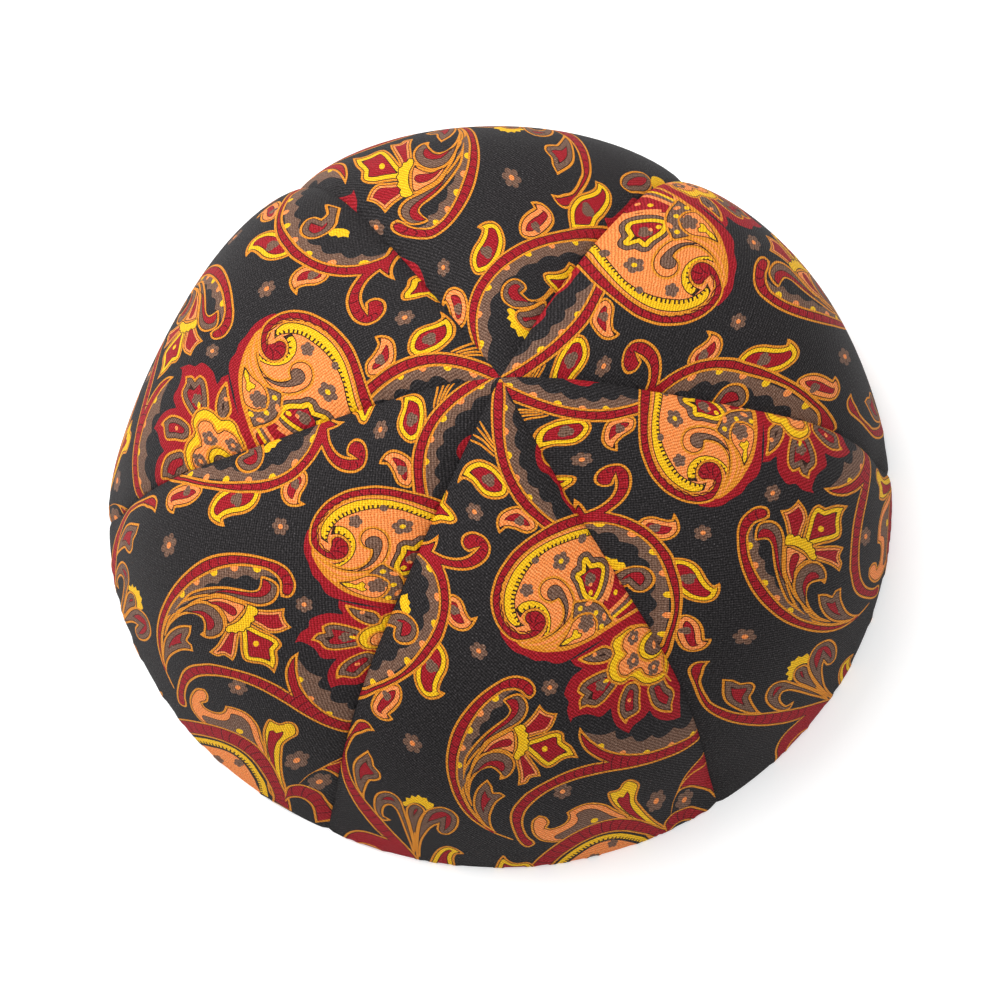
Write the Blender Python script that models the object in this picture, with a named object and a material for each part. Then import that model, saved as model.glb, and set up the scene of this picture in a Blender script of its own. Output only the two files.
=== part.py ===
"""Six-panel cloth kippah, resting on its rim as it lies on a table.

Six tapered panels of cotton twill are sewn side by side and meet at the crown. Each one
starts as a flat slab of cloth and is then bent to its place on the dome, so it keeps one
wall thickness, doubled inside along the rim where the hem is turned up.

Metres, +Z up. The rim lies on z = 0, its outline is centred on the origin, and -Y is the
front of the cap.
"""

import math
from typing import NamedTuple

import bmesh
import bpy
from mathutils import Vector

# Driving dimensions of the cap
RIM_RADIUS = 0.0935
DEPTH = 0.0765
CROWN_TOWARDS_FRONT = 0.0021

# Slope of the cloth at even steps along its length, from the crown down to the rim: a low
# cone, then a round shoulder, then sides that stand almost upright
SLOPES_DEG = (0.0, 18.0, 23.0, 30.0, 55.0, 71.0, 78.0)
PROFILE_STEPS = 240

# The cloth and the way it is sewn
CLOTH = 0.0012
HEM_WIDTH = 0.010
HEM_TURNED_LAYER = 0.0010
HEM_EDGE_SLOPE = 0.0015
SEAM_GAP = 0.0003
SEAM_VALLEY_DEPTH = 0.0018
SEAM_VALLEY_WIDTH = 0.0060
VALLEY_FADE_AT_CROWN = 0.030
VALLEY_FADE_AT_RIM = 0.012
PANEL_FULLNESS = 0.0016
CROWN_HOLE_RADIUS = 0.0010

# Facets of each panel
COLUMNS = 12
BODY_ROWS = 15
HEM_ROWS = 2
SMALLEST_EDGE = 0.0002

CLOTH_COLOUR = (0.030, 0.027, 0.029, 1.0)
CLOTH_ROUGHNESS = 0.85


class Panel(NamedTuple):
    """One panel and the seam on its clockwise side; the rim radii are shares of RIM_RADIUS."""

    name: str
    seam_angle_deg: float
    seam_bow: float  # furthest sideways drift of the seam, as a share of RIM_RADIUS
    seam_bow_at: float  # share of the way out to the rim where it drifts furthest
    rim_at_seam: float
    rim_at_middle: float


PANELS = (
    Panel("panel_back_right", 3.7, -0.047, 0.75, 1.001, 1.001),
    Panel("panel_back", 57.8, 0.027, 0.50, 0.991, 0.982),
    Panel("panel_back_left", 125.1, -0.018, 0.60, 1.001, 0.965),
    Panel("panel_front_left", 183.7, 0.075, 0.75, 1.002, 1.001),
    Panel("panel_front", 244.2, -0.002, 0.50, 0.984, 0.982),
    Panel("panel_front_right", 303.4, -0.018, 0.35, 0.980, 0.991),
)

# A bow rises and falls smoothly, and this sets how pointed it is
BOW_SHARPNESS = 3.0


def seam_row(number):
    """The panel row whose seam has this number, counted round and round the cap."""
    return PANELS[number % len(PANELS)]


def seam_angle(number):
    """Angle of a seam in radians, rising by a full turn each time round."""
    turns = number // len(PANELS)
    return math.radians(seam_row(number).seam_angle_deg + 360.0 * turns)


def smooth_between(before, start, end, after, share):
    """Catmull-Rom value a share of the way from start to end."""
    slope_start = (end - before) / 2.0
    slope_end = (after - start) / 2.0
    rise = end - start
    square = 3.0 * rise - 2.0 * slope_start - slope_end
    cube = slope_start + slope_end - 2.0 * rise
    return start + share * (slope_start + share * (square + share * cube))


RIM_SHARES = [share for panel in PANELS for share in (panel.rim_at_seam, panel.rim_at_middle)]


def rim_point(station):
    """Rim point; a station counts panels round the cap, from the seam on the right."""
    panel = math.floor(station)
    across = station - panel
    angle = seam_angle(panel) * (1.0 - across) + seam_angle(panel + 1) * across

    place = station * len(RIM_SHARES) / len(PANELS)
    low = math.floor(place)
    around = [RIM_SHARES[(low + step) % len(RIM_SHARES)] for step in (-1, 0, 1, 2)]
    radius = RIM_RADIUS * smooth_between(*around, place - low)
    return Vector((radius * math.cos(angle), radius * math.sin(angle), 0.0))


def outline_centre():
    """Centre of the rim's bounding box, which the finished cap has at the origin."""
    across = [column_share(column) for column in range(COLUMNS)]
    outline = [rim_point(panel + share) for panel in range(len(PANELS)) for share in across]
    lowest = Vector((min(point.x for point in outline), min(point.y for point in outline), 0.0))
    highest = Vector((max(point.x for point in outline), max(point.y for point in outline), 0.0))
    return (lowest + highest) / 2.0


def column_share(column):
    """Share of the way across a panel, with the columns closer together beside the seams."""
    turn = math.pi * (column / COLUMNS - 0.5)
    return 0.5 + 0.5 * math.sin(turn)


def bow(row, out):
    """Sideways drift of one seam at a share of the way out from the crown to the rim."""
    if out <= 0.0 or out >= 1.0:
        return 0.0
    before_peak = (out / row.seam_bow_at) ** (BOW_SHARPNESS * row.seam_bow_at)
    after_peak = ((1.0 - out) / (1.0 - row.seam_bow_at)) ** (BOW_SHARPNESS * (1.0 - row.seam_bow_at))
    return RIM_RADIUS * row.seam_bow * before_peak * after_peak


def slope(down):
    """Slope of the cloth in radians at a share of the way down its length."""
    place = down * (len(SLOPES_DEG) - 1)
    low = min(math.floor(place), len(SLOPES_DEG) - 2)
    last = len(SLOPES_DEG) - 1
    around = [SLOPES_DEG[min(max(low + step, 0), last)] for step in (-1, 0, 1, 2)]
    return math.radians(smooth_between(*around, place - low))


def profile_shares():
    """Running shares of the way out and of the way up, walked from the crown to the rim."""
    out = [0.0]
    fallen = [0.0]
    for step in range(PROFILE_STEPS):
        angle = slope((step + 0.5) / PROFILE_STEPS)
        out.append(out[-1] + math.cos(angle))
        fallen.append(fallen[-1] + math.sin(angle))
    out_shares = [value / out[-1] for value in out]
    up_shares = [1.0 - value / fallen[-1] for value in fallen]
    return out_shares, up_shares


OUT_SHARES, UP_SHARES = profile_shares()


def along_profile(shares, down):
    """Value of a running share, and how fast it changes, at a share of the way down."""
    place = down * PROFILE_STEPS
    low = min(math.floor(place), PROFILE_STEPS - 1)
    rate = shares[low + 1] - shares[low]
    return shares[low] + (place - low) * rate, rate * PROFILE_STEPS


def panel_length():
    """Length of the cloth from the crown to the rim."""
    steps = range(PROFILE_STEPS)
    outs = [RIM_RADIUS * (OUT_SHARES[step + 1] - OUT_SHARES[step]) for step in steps]
    falls = [DEPTH * (UP_SHARES[step + 1] - UP_SHARES[step]) for step in steps]
    return sum(math.hypot(out, fall) for out, fall in zip(outs, falls))


PANEL_LENGTH = panel_length()


def row_shares():
    """Shares of the way down a panel: rows of its body, the slope of the hem's edge, the hem."""
    top = CROWN_HOLE_RADIUS / PANEL_LENGTH
    hem_top = 1.0 - HEM_WIDTH / PANEL_LENGTH
    hem_full = hem_top + HEM_EDGE_SLOPE / PANEL_LENGTH
    shares = [top + (hem_top - top) * row / BODY_ROWS for row in range(BODY_ROWS + 1)]
    shares += [hem_full + (1.0 - hem_full) * row / HEM_ROWS for row in range(HEM_ROWS + 1)]
    return shares


ROW_SHARES = row_shares()
FIRST_HEM_ROW = BODY_ROWS + 1
ROWS = len(ROW_SHARES) - 1


def surface_relief(across, down, from_crown):
    """How far the cloth stands off the plain dome: full in mid panel, sunk along its seams."""
    from_rim = PANEL_LENGTH * (1.0 - down)
    half_width = from_crown * math.pi / len(PANELS)
    from_seam = half_width * (1.0 - abs(2.0 * across - 1.0))
    fade = min(1.0, from_crown / VALLEY_FADE_AT_CROWN, from_rim / VALLEY_FADE_AT_RIM)
    valley = SEAM_VALLEY_DEPTH * fade * math.exp(-from_seam / SEAM_VALLEY_WIDTH)
    fullness = PANEL_FULLNESS * math.sin(math.pi * across) * math.sin(math.pi * down)
    return fullness - valley


def wall(row):
    """Thickness of the cloth on one row of facets."""
    if row < FIRST_HEM_ROW:
        return CLOTH
    return CLOTH + HEM_TURNED_LAYER


def panel_point(panel, column, row, depth, centre):
    """Place of one vertex of a panel; depth is 0 on its outer face and 1 on its inner face."""
    down = ROW_SHARES[row]
    across = column_share(column)
    out, out_rate = along_profile(OUT_SHARES, down)
    up, up_rate = along_profile(UP_SHARES, down)

    crown = centre - Vector((0.0, CROWN_TOWARDS_FRONT, 0.0))
    ray = rim_point(panel + across) - crown
    outward = ray.normalized()
    sideways = Vector((-outward.y, outward.x, 0.0))
    drift = bow(seam_row(panel), out) * (1.0 - across) + bow(seam_row(panel + 1), out) * across
    drift -= SEAM_GAP / 2.0 * (2.0 * across - 1.0)
    point = crown + ray * out + sideways * drift
    point.z = DEPTH * up

    normal = (outward * -up_rate * DEPTH + Vector((0.0, 0.0, out_rate * ray.length))).normalized()
    point += normal * surface_relief(across, down, out * ray.length)
    if row == ROWS:
        point -= outward * (depth * wall(row) / normal.dot(outward))
        point.z = 0.0
    else:
        point -= normal * (depth * wall(row))
    return point - centre


def flat_slab():
    """A slab of cloth lying flat: a grid of columns and rows, one unit thick."""
    slab = bmesh.new()
    bmesh.ops.create_grid(slab, x_segments=COLUMNS, y_segments=ROWS, size=0.5)
    bmesh.ops.solidify(slab, geom=slab.faces[:], thickness=1.0)
    return slab


def bend_panel(panel, centre):
    """Bend a flat slab to the shape of one panel and return its mesh."""
    slab = flat_slab()
    lowest = min(vertex.co.z for vertex in slab.verts)
    for vertex in slab.verts:
        column = round((vertex.co.x + 0.5) * COLUMNS)
        row = round((0.5 - vertex.co.y) * ROWS)
        depth = 0.0 if vertex.co.z - lowest > 0.5 else 1.0
        vertex.co = panel_point(panel, column, row, depth, centre)
    bmesh.ops.remove_doubles(slab, verts=slab.verts[:], dist=SMALLEST_EDGE)
    bmesh.ops.recalc_face_normals(slab, faces=slab.faces[:])
    mesh = bpy.data.meshes.new(PANELS[panel].name)
    slab.to_mesh(mesh)
    slab.free()
    mesh.shade_smooth()
    mesh.set_sharp_from_angle(angle=math.radians(50.0))
    return mesh


def cloth_material(name):
    """Dark cotton twill for one panel."""
    material = bpy.data.materials.new(name)
    material.use_nodes = True
    shader = material.node_tree.nodes["Principled BSDF"]
    shader.inputs["Base Color"].default_value = CLOTH_COLOUR
    shader.inputs["Roughness"].default_value = CLOTH_ROUGHNESS
    shader.inputs["Metallic"].default_value = 0.0
    return material


def clear_scene():
    """Remove every object that the scene starts with."""
    for item in list(bpy.data.objects):
        bpy.data.objects.remove(item, do_unlink=True)


def build_kippah():
    """Build the six panels in a collection of their own."""
    collection = bpy.data.collections.new("kippah")
    bpy.context.scene.collection.children.link(collection)
    centre = outline_centre()
    for panel, row in enumerate(PANELS):
        mesh = bend_panel(panel, centre)
        mesh.materials.append(cloth_material(row.name))
        collection.objects.link(bpy.data.objects.new(row.name, mesh))


clear_scene()
build_kippah()
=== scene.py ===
"""Dressed scene of a six-panel cloth kippah with a paisley print, resting on its rim.

Each panel is a gore of printed cotton twill. Its print is charted on the flat cloth
in millimetres, the flat cloth is cut into the gore, given its thickness and bent to the dome.
"""

import logging
import math
from dataclasses import dataclass, field
from enum import Enum

import bmesh
import bpy
import numpy as np
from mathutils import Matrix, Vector
from mathutils.geometry import delaunay_2d_cdt


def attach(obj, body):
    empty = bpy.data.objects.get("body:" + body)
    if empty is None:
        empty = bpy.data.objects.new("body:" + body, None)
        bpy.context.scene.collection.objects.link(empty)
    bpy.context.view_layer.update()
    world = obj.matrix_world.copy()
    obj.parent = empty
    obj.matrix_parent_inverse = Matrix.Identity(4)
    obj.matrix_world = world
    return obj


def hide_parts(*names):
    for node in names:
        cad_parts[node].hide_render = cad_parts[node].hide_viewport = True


LOG = logging.getLogger("kippah")

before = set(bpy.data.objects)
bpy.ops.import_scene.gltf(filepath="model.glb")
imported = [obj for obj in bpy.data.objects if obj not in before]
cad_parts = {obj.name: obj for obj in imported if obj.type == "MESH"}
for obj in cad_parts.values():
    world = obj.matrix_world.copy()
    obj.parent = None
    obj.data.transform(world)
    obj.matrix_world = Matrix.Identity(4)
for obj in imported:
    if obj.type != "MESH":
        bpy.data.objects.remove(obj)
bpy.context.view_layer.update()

MM = 0.001

# Millimetres of flat cloth across the unit square of the cloth's UV map
CLOTH_SPAN = 140.0

# Lengths and distances that count as nothing and as out of reach, in millimetres
TINY = 1e-6
FAR = 1e3

# Longest pull on a smooth path, as a share of the way between two of its points
LONGEST_PULL = 1.2

# Dark ticks across a band, in millimetres: least width of the band, gap to its edges, half width and bow
TICK_LEAST_BAND = 2.0
TICK_GAP = 0.75
TICK_HALF_WIDTH = 0.15
TICK_BOWS = (0.25, 0.45)


class Dye(Enum):
    """Dyes of the print, as display colours out of 255."""

    GROUND = (41, 38, 39)
    GOLD = (224, 142, 38)
    INK = (54, 30, 20)
    CRIMSON = (160, 22, 34)
    TICK = (98, 12, 22)
    BROWN = (118, 88, 72)
    YELLOW = (246, 192, 24)
    ORANGE = (246, 146, 78)

    def linear(self) -> tuple[float, float, float, float]:
        """Scene-linear colour with full alpha."""
        shares = [level / 255.0 for level in self.value]
        curve = [share / 12.92 if share <= 0.04045 else ((share + 0.055) / 1.055) ** 2.4 for share in shares]
        return (curve[0], curve[1], curve[2], 1.0)


class Layers(Enum):
    """Dyes of a printed form from its edge inwards, each with its distance in from the edge."""

    BAND = ((0.0, Dye.GOLD), (0.50, Dye.INK), (0.70, Dye.CRIMSON))
    YELLOW_LEAF = ((0.0, Dye.GOLD), (0.50, Dye.INK), (0.70, Dye.YELLOW), (1.60, Dye.INK), (1.80, Dye.CRIMSON))
    ORANGE_LEAF = ((0.0, Dye.GOLD), (0.50, Dye.INK), (0.70, Dye.ORANGE), (1.60, Dye.INK), (1.78, Dye.CRIMSON))
    BROWN_LEAF = ((0.0, Dye.GOLD), (0.50, Dye.INK), (0.70, Dye.BROWN), (1.70, Dye.INK), (1.88, Dye.CRIMSON))
    PETAL = ((0.0, Dye.GOLD), (0.45, Dye.INK), (0.60, Dye.ORANGE), (1.05, Dye.INK), (1.18, Dye.CRIMSON))
    ORANGE_POD = ((0.0, Dye.GOLD), (0.50, Dye.INK), (0.70, Dye.ORANGE))
    BROWN_POD = ((0.0, Dye.GOLD), (0.50, Dye.INK), (0.70, Dye.BROWN))
    YELLOW_POD = ((0.0, Dye.GOLD), (0.50, Dye.INK), (0.70, Dye.YELLOW))
    GOLD = ((0.0, Dye.GOLD),)
    CRIMSON = ((0.0, Dye.CRIMSON),)
    YELLOW = ((0.0, Dye.YELLOW),)
    ORANGE = ((0.0, Dye.ORANGE),)
    LINED_CRIMSON = ((0.0, Dye.INK), (0.18, Dye.CRIMSON))
    LINED_BROWN = ((0.0, Dye.INK), (0.2, Dye.BROWN))
    LINED_YELLOW = ((0.0, Dye.INK), (0.2, Dye.YELLOW))
    YELLOW_PETAL = ((0.0, Dye.INK), (0.2, Dye.YELLOW), (1.15, Dye.INK), (1.35, Dye.CRIMSON))


Outline = np.ndarray
Spots = tuple[tuple[float, float], ...]


def smooth_path(points: Spots, closed: bool = True, step: float = 0.75) -> Outline:
    """Draw a smooth path through given points.

    Args:
        points: Points in millimetres; a point given twice is a sharp corner.
        closed: Whether the path returns to its first point.
        step: Rough spacing of the points on the path.

    Returns:
        The points of the path, one row each.
    """
    spots = [Vector(point) for point in points]
    if closed:
        spots.append(spots[0].copy())
    runs: list[list[Vector]] = [[spots[0]]]
    for before, spot in zip(spots, spots[1:]):
        if (spot - before).length < TINY:
            runs.append([spot])
        else:
            runs[-1].append(spot)
    runs = [run for run in runs if len(run) > 1]
    whole = closed and len(runs) == 1
    path: list[Vector] = []
    for run in runs:
        last = len(run) - 1
        for place in range(last):
            start, end = run[place], run[place + 1]
            before = run[place - 1] if place > 0 else (run[last - 1] if whole else start * 2.0 - end)
            after = run[place + 2] if place + 2 <= last else (run[1] if whole else end * 2.0 - start)
            reach = (end - start).length
            count = max(1, round(reach / step))
            out_pull = (end - before) * 0.5
            in_pull = (after - start) * 0.5
            for pull in (out_pull, in_pull):
                if pull.length > reach * LONGEST_PULL:
                    pull *= reach * LONGEST_PULL / pull.length
            for number in range(count):
                share = number / count
                square, cube = share * share, share ** 3
                path.append(
                    start * (2.0 * cube - 3.0 * square + 1.0)
                    + out_pull * (cube - 2.0 * square + share)
                    + end * (3.0 * square - 2.0 * cube)
                    + in_pull * (cube - square)
                )
    if not closed:
        path.append(spots[-1])
    return np.array([(point.x, point.y) for point in path])


def unit(steps: np.ndarray) -> np.ndarray:
    """The steps, each made one millimetre long."""
    return steps / np.maximum(np.linalg.norm(steps, axis=1, keepdims=True), 1e-9)


def quarter_left(steps: np.ndarray) -> np.ndarray:
    """The steps, turned a quarter to the left."""
    return np.stack([-steps[:, 1], steps[:, 0]], axis=1)


def leftward(path: Outline) -> np.ndarray:
    """Steps of one millimetre to the left of a path, one at each of its points."""
    return quarter_left(unit(np.gradient(path, axis=0)))


def area(outline: Outline) -> float:
    """Signed area inside an outline."""
    ahead = np.roll(outline, -1, axis=0)
    return float(np.sum(outline[:, 0] * ahead[:, 1] - ahead[:, 0] * outline[:, 1]) / 2.0)


def turned_left(outline: Outline) -> Outline:
    """The outline, running anticlockwise."""
    return outline if area(outline) > 0.0 else outline[::-1]


def inside(points: np.ndarray, outline: Outline) -> np.ndarray:
    """Tell which points an outline goes round.

    Args:
        points: Points, one row each.
        outline: A closed outline, which may cross itself.

    Returns:
        True for each point inside.
    """
    low, high = outline.min(axis=0), outline.max(axis=0)
    near = np.flatnonzero(((points > low) & (points < high)).all(axis=1))
    found = np.zeros(len(points), dtype=bool)
    if len(near) == 0:
        return found
    x, y = points[near, 0][:, None], points[near, 1][:, None]
    start, end = outline[None, :, :], np.roll(outline, -1, axis=0)[None, :, :]
    left = (end[..., 0] - start[..., 0]) * (y - start[..., 1]) - (x - start[..., 0]) * (end[..., 1] - start[..., 1])
    rising = (start[..., 1] <= y) & (end[..., 1] > y) & (left > 0.0)
    falling = (start[..., 1] > y) & (end[..., 1] <= y) & (left < 0.0)
    found[near] = rising.sum(axis=1) != falling.sum(axis=1)
    return found


def inset(outline: Outline, distance: float, clear: float = 0.97, smallest: float = 0.12) -> Outline | None:
    """Move an outline inwards.

    Args:
        outline: Outline that runs anticlockwise.
        distance: How far it moves, in millimetres.
        clear: Share of that distance that a kept point is away from the whole outline.
        smallest: Smallest area that counts, in square millimetres.

    Returns:
        The inner outline, or None where nothing is left of it.
    """
    if distance <= 0.0:
        return outline
    run = np.roll(outline, -1, axis=0) - outline
    ahead = unit(run)
    heading = ahead + np.roll(ahead, 1, axis=0)
    length = np.linalg.norm(heading, axis=1, keepdims=True)
    heading = np.where(length > TINY, heading / np.maximum(length, TINY), ahead)
    inward = quarter_left(heading)
    mitre = 1.0 / np.clip(np.sum(inward * quarter_left(ahead), axis=1), 0.35, 1.0)
    moved = outline + inward * (distance * mitre)[:, None]
    square = np.maximum(np.sum(run * run, axis=1), 1e-12)
    gap = moved[:, None, :] - outline[None, :, :]
    share = np.clip(np.sum(gap * run[None, :, :], axis=2) / square[None, :], 0.0, 1.0)
    away = np.linalg.norm(gap - share[:, :, None] * run[None, :, :], axis=2).min(axis=1)
    kept = moved[away > distance * clear]
    if len(kept) < 5 or area(kept) < smallest:
        return None
    return kept


def running_length(path: Outline) -> np.ndarray:
    """Length along a path at each of its points."""
    return np.concatenate([[0.0], np.cumsum(np.linalg.norm(np.diff(path, axis=0), axis=1))])


def along(path: Outline, run: np.ndarray, share: float) -> np.ndarray:
    """The place at a share of the length of a path."""
    return np.array([np.interp(share * run[-1], run, path[:, axis]) for axis in (0, 1)])


def nearest(path: Outline, run: np.ndarray, spot: np.ndarray, share: float, window: float = 0.13) -> np.ndarray:
    """The point of a path that is nearest to a spot, within a window round a share of its length."""
    gap = np.linalg.norm(path - spot, axis=1) + FAR * (np.abs(run / run[-1] - share) > window)
    return path[int(gap.argmin())]


def ribbon(line: Outline, side: np.ndarray) -> Outline:
    """The outline of a ribbon that reaches as far to one side of a line as to the other."""
    return turned_left(np.concatenate([line - side, (line + side)[::-1]]))


def ring(x: float, y: float, turn: np.ndarray, across: np.ndarray | float, down: np.ndarray | float) -> Outline:
    """Points at each turn round a place, so far across and so far down."""
    return np.stack([x + across * np.cos(turn), y + down * np.sin(turn)], axis=1)


def full_turn(count: int) -> np.ndarray:
    """Even turns once round."""
    return np.linspace(0.0, 2.0 * math.pi, count, endpoint=False)


def beside(path: Outline, distance: float, trim: float, clear: float = 0.9, window: int = 14) -> Outline:
    """Move an open path sideways and shorten it.

    Args:
        path: The path.
        distance: How far it moves to its left, in millimetres.
        trim: Length that is taken off each end.
        clear: Share of the distance that a kept point is away from the path.
        window: How many points along the path that is looked at, each way.

    Returns:
        The moved path.
    """
    run = running_length(path)
    moved = path + leftward(path) * distance
    number = np.arange(len(path))
    gap = np.linalg.norm(moved[:, None, :] - path[None, :, :], axis=2)
    gap = np.where(np.abs(number[:, None] - number[None, :]) < window, gap, FAR).min(axis=1)
    kept = (gap > abs(distance) * clear) & (run >= trim) & (run <= run[-1] - trim)
    return moved[kept]


def lane(left: Outline, right: Outline, distance: float) -> Outline:
    """The outline of a band, moved inwards from both of its edges."""
    edge = np.concatenate([left, right[::-1]])
    if distance > 0.0:
        inward = distance if area(edge) > 0.0 else -distance
        edge = np.concatenate([beside(left, inward, distance), beside(right, -inward, distance)[::-1]])
    return turned_left(edge)


def ticks_between(left: Outline, right: Outline, pitch: float) -> list[tuple[Dye, Outline]]:
    """Draw dark ticks across a band.

    Args:
        left: One edge of the band.
        right: The other edge, which runs the same way.
        pitch: Spacing of the ticks in millimetres.

    Returns:
        One thin outline for each tick.
    """
    left_run = running_length(left)
    right_run = running_length(right)
    count = int((left_run[-1] + right_run[-1]) / 2.0 / pitch)
    found = []
    for tick in range(1, count):
        start = along(left, left_run, tick / count)
        end = nearest(right, right_run, start, tick / count)
        width = float(np.linalg.norm(end - start))
        if width < TICK_LEAST_BAND:
            continue
        across = (end - start) / width
        side = np.array([-across[1], across[0]])
        start, end = start + across * TICK_GAP, end - across * TICK_GAP
        bulge = side * TICK_BOWS[tick % 2]
        middle = (start + end) / 2.0 + bulge
        quarters = ((start + middle) / 2.0 + bulge * 0.25, (middle + end) / 2.0 + bulge * 0.25)
        line = np.array([start, quarters[0], middle, quarters[1], end])
        found.append((Dye.TICK, ribbon(line, side * TICK_HALF_WIDTH)))
    return found


@dataclass(frozen=True)
class Form:
    """A printed form with nested layers of dye."""

    layers: Layers
    outline: Spots

    def shapes(self) -> list[tuple[Dye, Outline]]:
        """Every layer as a dye and its outline, the lowest first."""
        edge = turned_left(smooth_path(self.outline))
        found = []
        for distance, dye in self.layers.value:
            inner = inset(edge, distance)
            if inner is not None:
                found.append((dye, inner))
        return found


@dataclass(frozen=True)
class Band:
    """A crimson band between two edges, with dark ticks across it."""

    left: Spots
    right: Spots
    tick_pitch: float = 2.3

    def shapes(self) -> list[tuple[Dye, Outline]]:
        """The band, its gold edges and its ticks."""
        left = smooth_path(self.left, closed=False)
        right = smooth_path(self.right, closed=False)
        found = [(dye, lane(left, right, distance)) for distance, dye in Layers.BAND.value]
        return found + ticks_between(left, right, self.tick_pitch)


@dataclass(frozen=True)
class Stroke:
    """A line of one dye that tapers towards its ends."""

    path: Spots
    width: float = 0.5
    dye: Dye = Dye.GOLD
    taper: float = 0.4
    taper_power: int = 4
    step: float = 0.9

    def shapes(self) -> list[tuple[Dye, Outline]]:
        """The line as one outline."""
        line = smooth_path(self.path, closed=False, step=self.step)
        run = np.linspace(0.0, 1.0, len(line))
        half = self.width / 2.0 * (1.0 - self.taper * np.abs(2.0 * run - 1.0) ** self.taper_power)
        return [(self.dye, ribbon(line, leftward(line) * half[:, None]))]


@dataclass(frozen=True)
class Floret:
    """A small flower of round petals with a dot in its middle."""

    x: float
    y: float
    radius: float = 2.0
    petals: int = 6
    tall: float = 1.0
    dye: Dye = Dye.BROWN
    eye: Dye | None = Dye.ORANGE
    waist: float = 0.62
    eye_share: float = 0.28
    points_per_petal: int = 9

    def shapes(self) -> list[tuple[Dye, Outline]]:
        """The petals and the dot."""
        turn = full_turn(self.petals * self.points_per_petal)
        petal = np.sqrt(np.abs(np.cos((self.petals * turn + self.x) / 2.0)))
        reach = self.radius * (self.waist + (1.0 - self.waist) * petal)
        found = [(self.dye, ring(self.x, self.y, turn, reach, reach * self.tall))]
        if self.eye:
            eye = self.radius * self.eye_share
            found += Dot(self.x, self.y, eye, eye * self.tall, self.eye).shapes()
        return found


@dataclass(frozen=True)
class Dot:
    """A round dot of one dye."""

    x: float
    y: float
    across: float = 0.6
    down: float = 0.6
    dye: Dye = Dye.YELLOW
    points: int = 10

    def shapes(self) -> list[tuple[Dye, Outline]]:
        """The dot as one outline."""
        return [(self.dye, ring(self.x, self.y, full_turn(self.points), self.across, self.down))]


@dataclass(frozen=True)
class Ticks:
    """Dark ticks across a crimson form, between two of its edges."""

    left: Spots
    right: Spots
    pitch: float = 2.3

    def shapes(self) -> list[tuple[Dye, Outline]]:
        """Every tick as a thin outline."""
        left = smooth_path(self.left, closed=False)
        right = smooth_path(self.right, closed=False)
        return ticks_between(left, right, self.pitch)


@dataclass(frozen=True)
class Ladder:
    """A yellow border with a dark edge and short dark rungs."""

    outer: Spots
    inner: Spots
    pitch: float = 0.95
    edge: float = 0.22
    half_rung: float = 0.21
    rung_start: float = 0.6

    def shapes(self) -> list[tuple[Dye, Outline]]:
        """The border, its edge and its rungs."""
        outer = smooth_path(self.outer, closed=False)
        inner = smooth_path(self.inner, closed=False)
        found = [(Dye.INK, lane(outer, inner, 0.0)), (Dye.YELLOW, lane(outer, inner, self.edge))]
        outer_run = running_length(outer)
        inner_run = running_length(inner)
        count = int(inner_run[-1] / self.pitch)
        for rung in range(1, count):
            share = rung / count
            end = along(inner, inner_run, share)
            start = nearest(outer, outer_run, end, share)
            across = (end - start) / max(float(np.linalg.norm(end - start)), TINY)
            side = np.array([-across[1], across[0]]) * self.half_rung
            near = start * (1.0 - self.rung_start) + end * self.rung_start
            found.append((Dye.INK, ribbon(np.array([near, end]), side)))
        return found


@dataclass(frozen=True)
class Frill:
    """A brown border that grows from a line in round scallops, with dots on the line."""

    base: Spots
    width: float
    bulge: float
    pitch: float
    side: int = 1
    dot: float = 0.95

    def shapes(self) -> list[tuple[Dye, Outline]]:
        """The border and its dots."""
        base = smooth_path(self.base, closed=False)
        away = leftward(base) * -self.side
        run = running_length(base)
        ends = np.minimum(1.0, np.minimum(run, run[-1] - run) / self.pitch)
        reach = (self.width - self.bulge * np.abs(np.sin(math.pi * run / self.pitch))) * ends
        found = [(Dye.BROWN, turned_left(np.concatenate([base, (base + away * reach[:, None])[::-1]])))]
        for number in range(1, int(run[-1] / self.pitch)):
            spot = along(base, run, number * self.pitch / run[-1])
            dye = Dye.YELLOW if number % 2 else Dye.ORANGE
            found += Dot(float(spot[0]), float(spot[1]), self.dot, self.dot, dye).shapes()
        return found


Motif = tuple[Form | Band | Stroke | Floret | Dot | Ticks | Ladder | Frill, ...]


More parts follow.
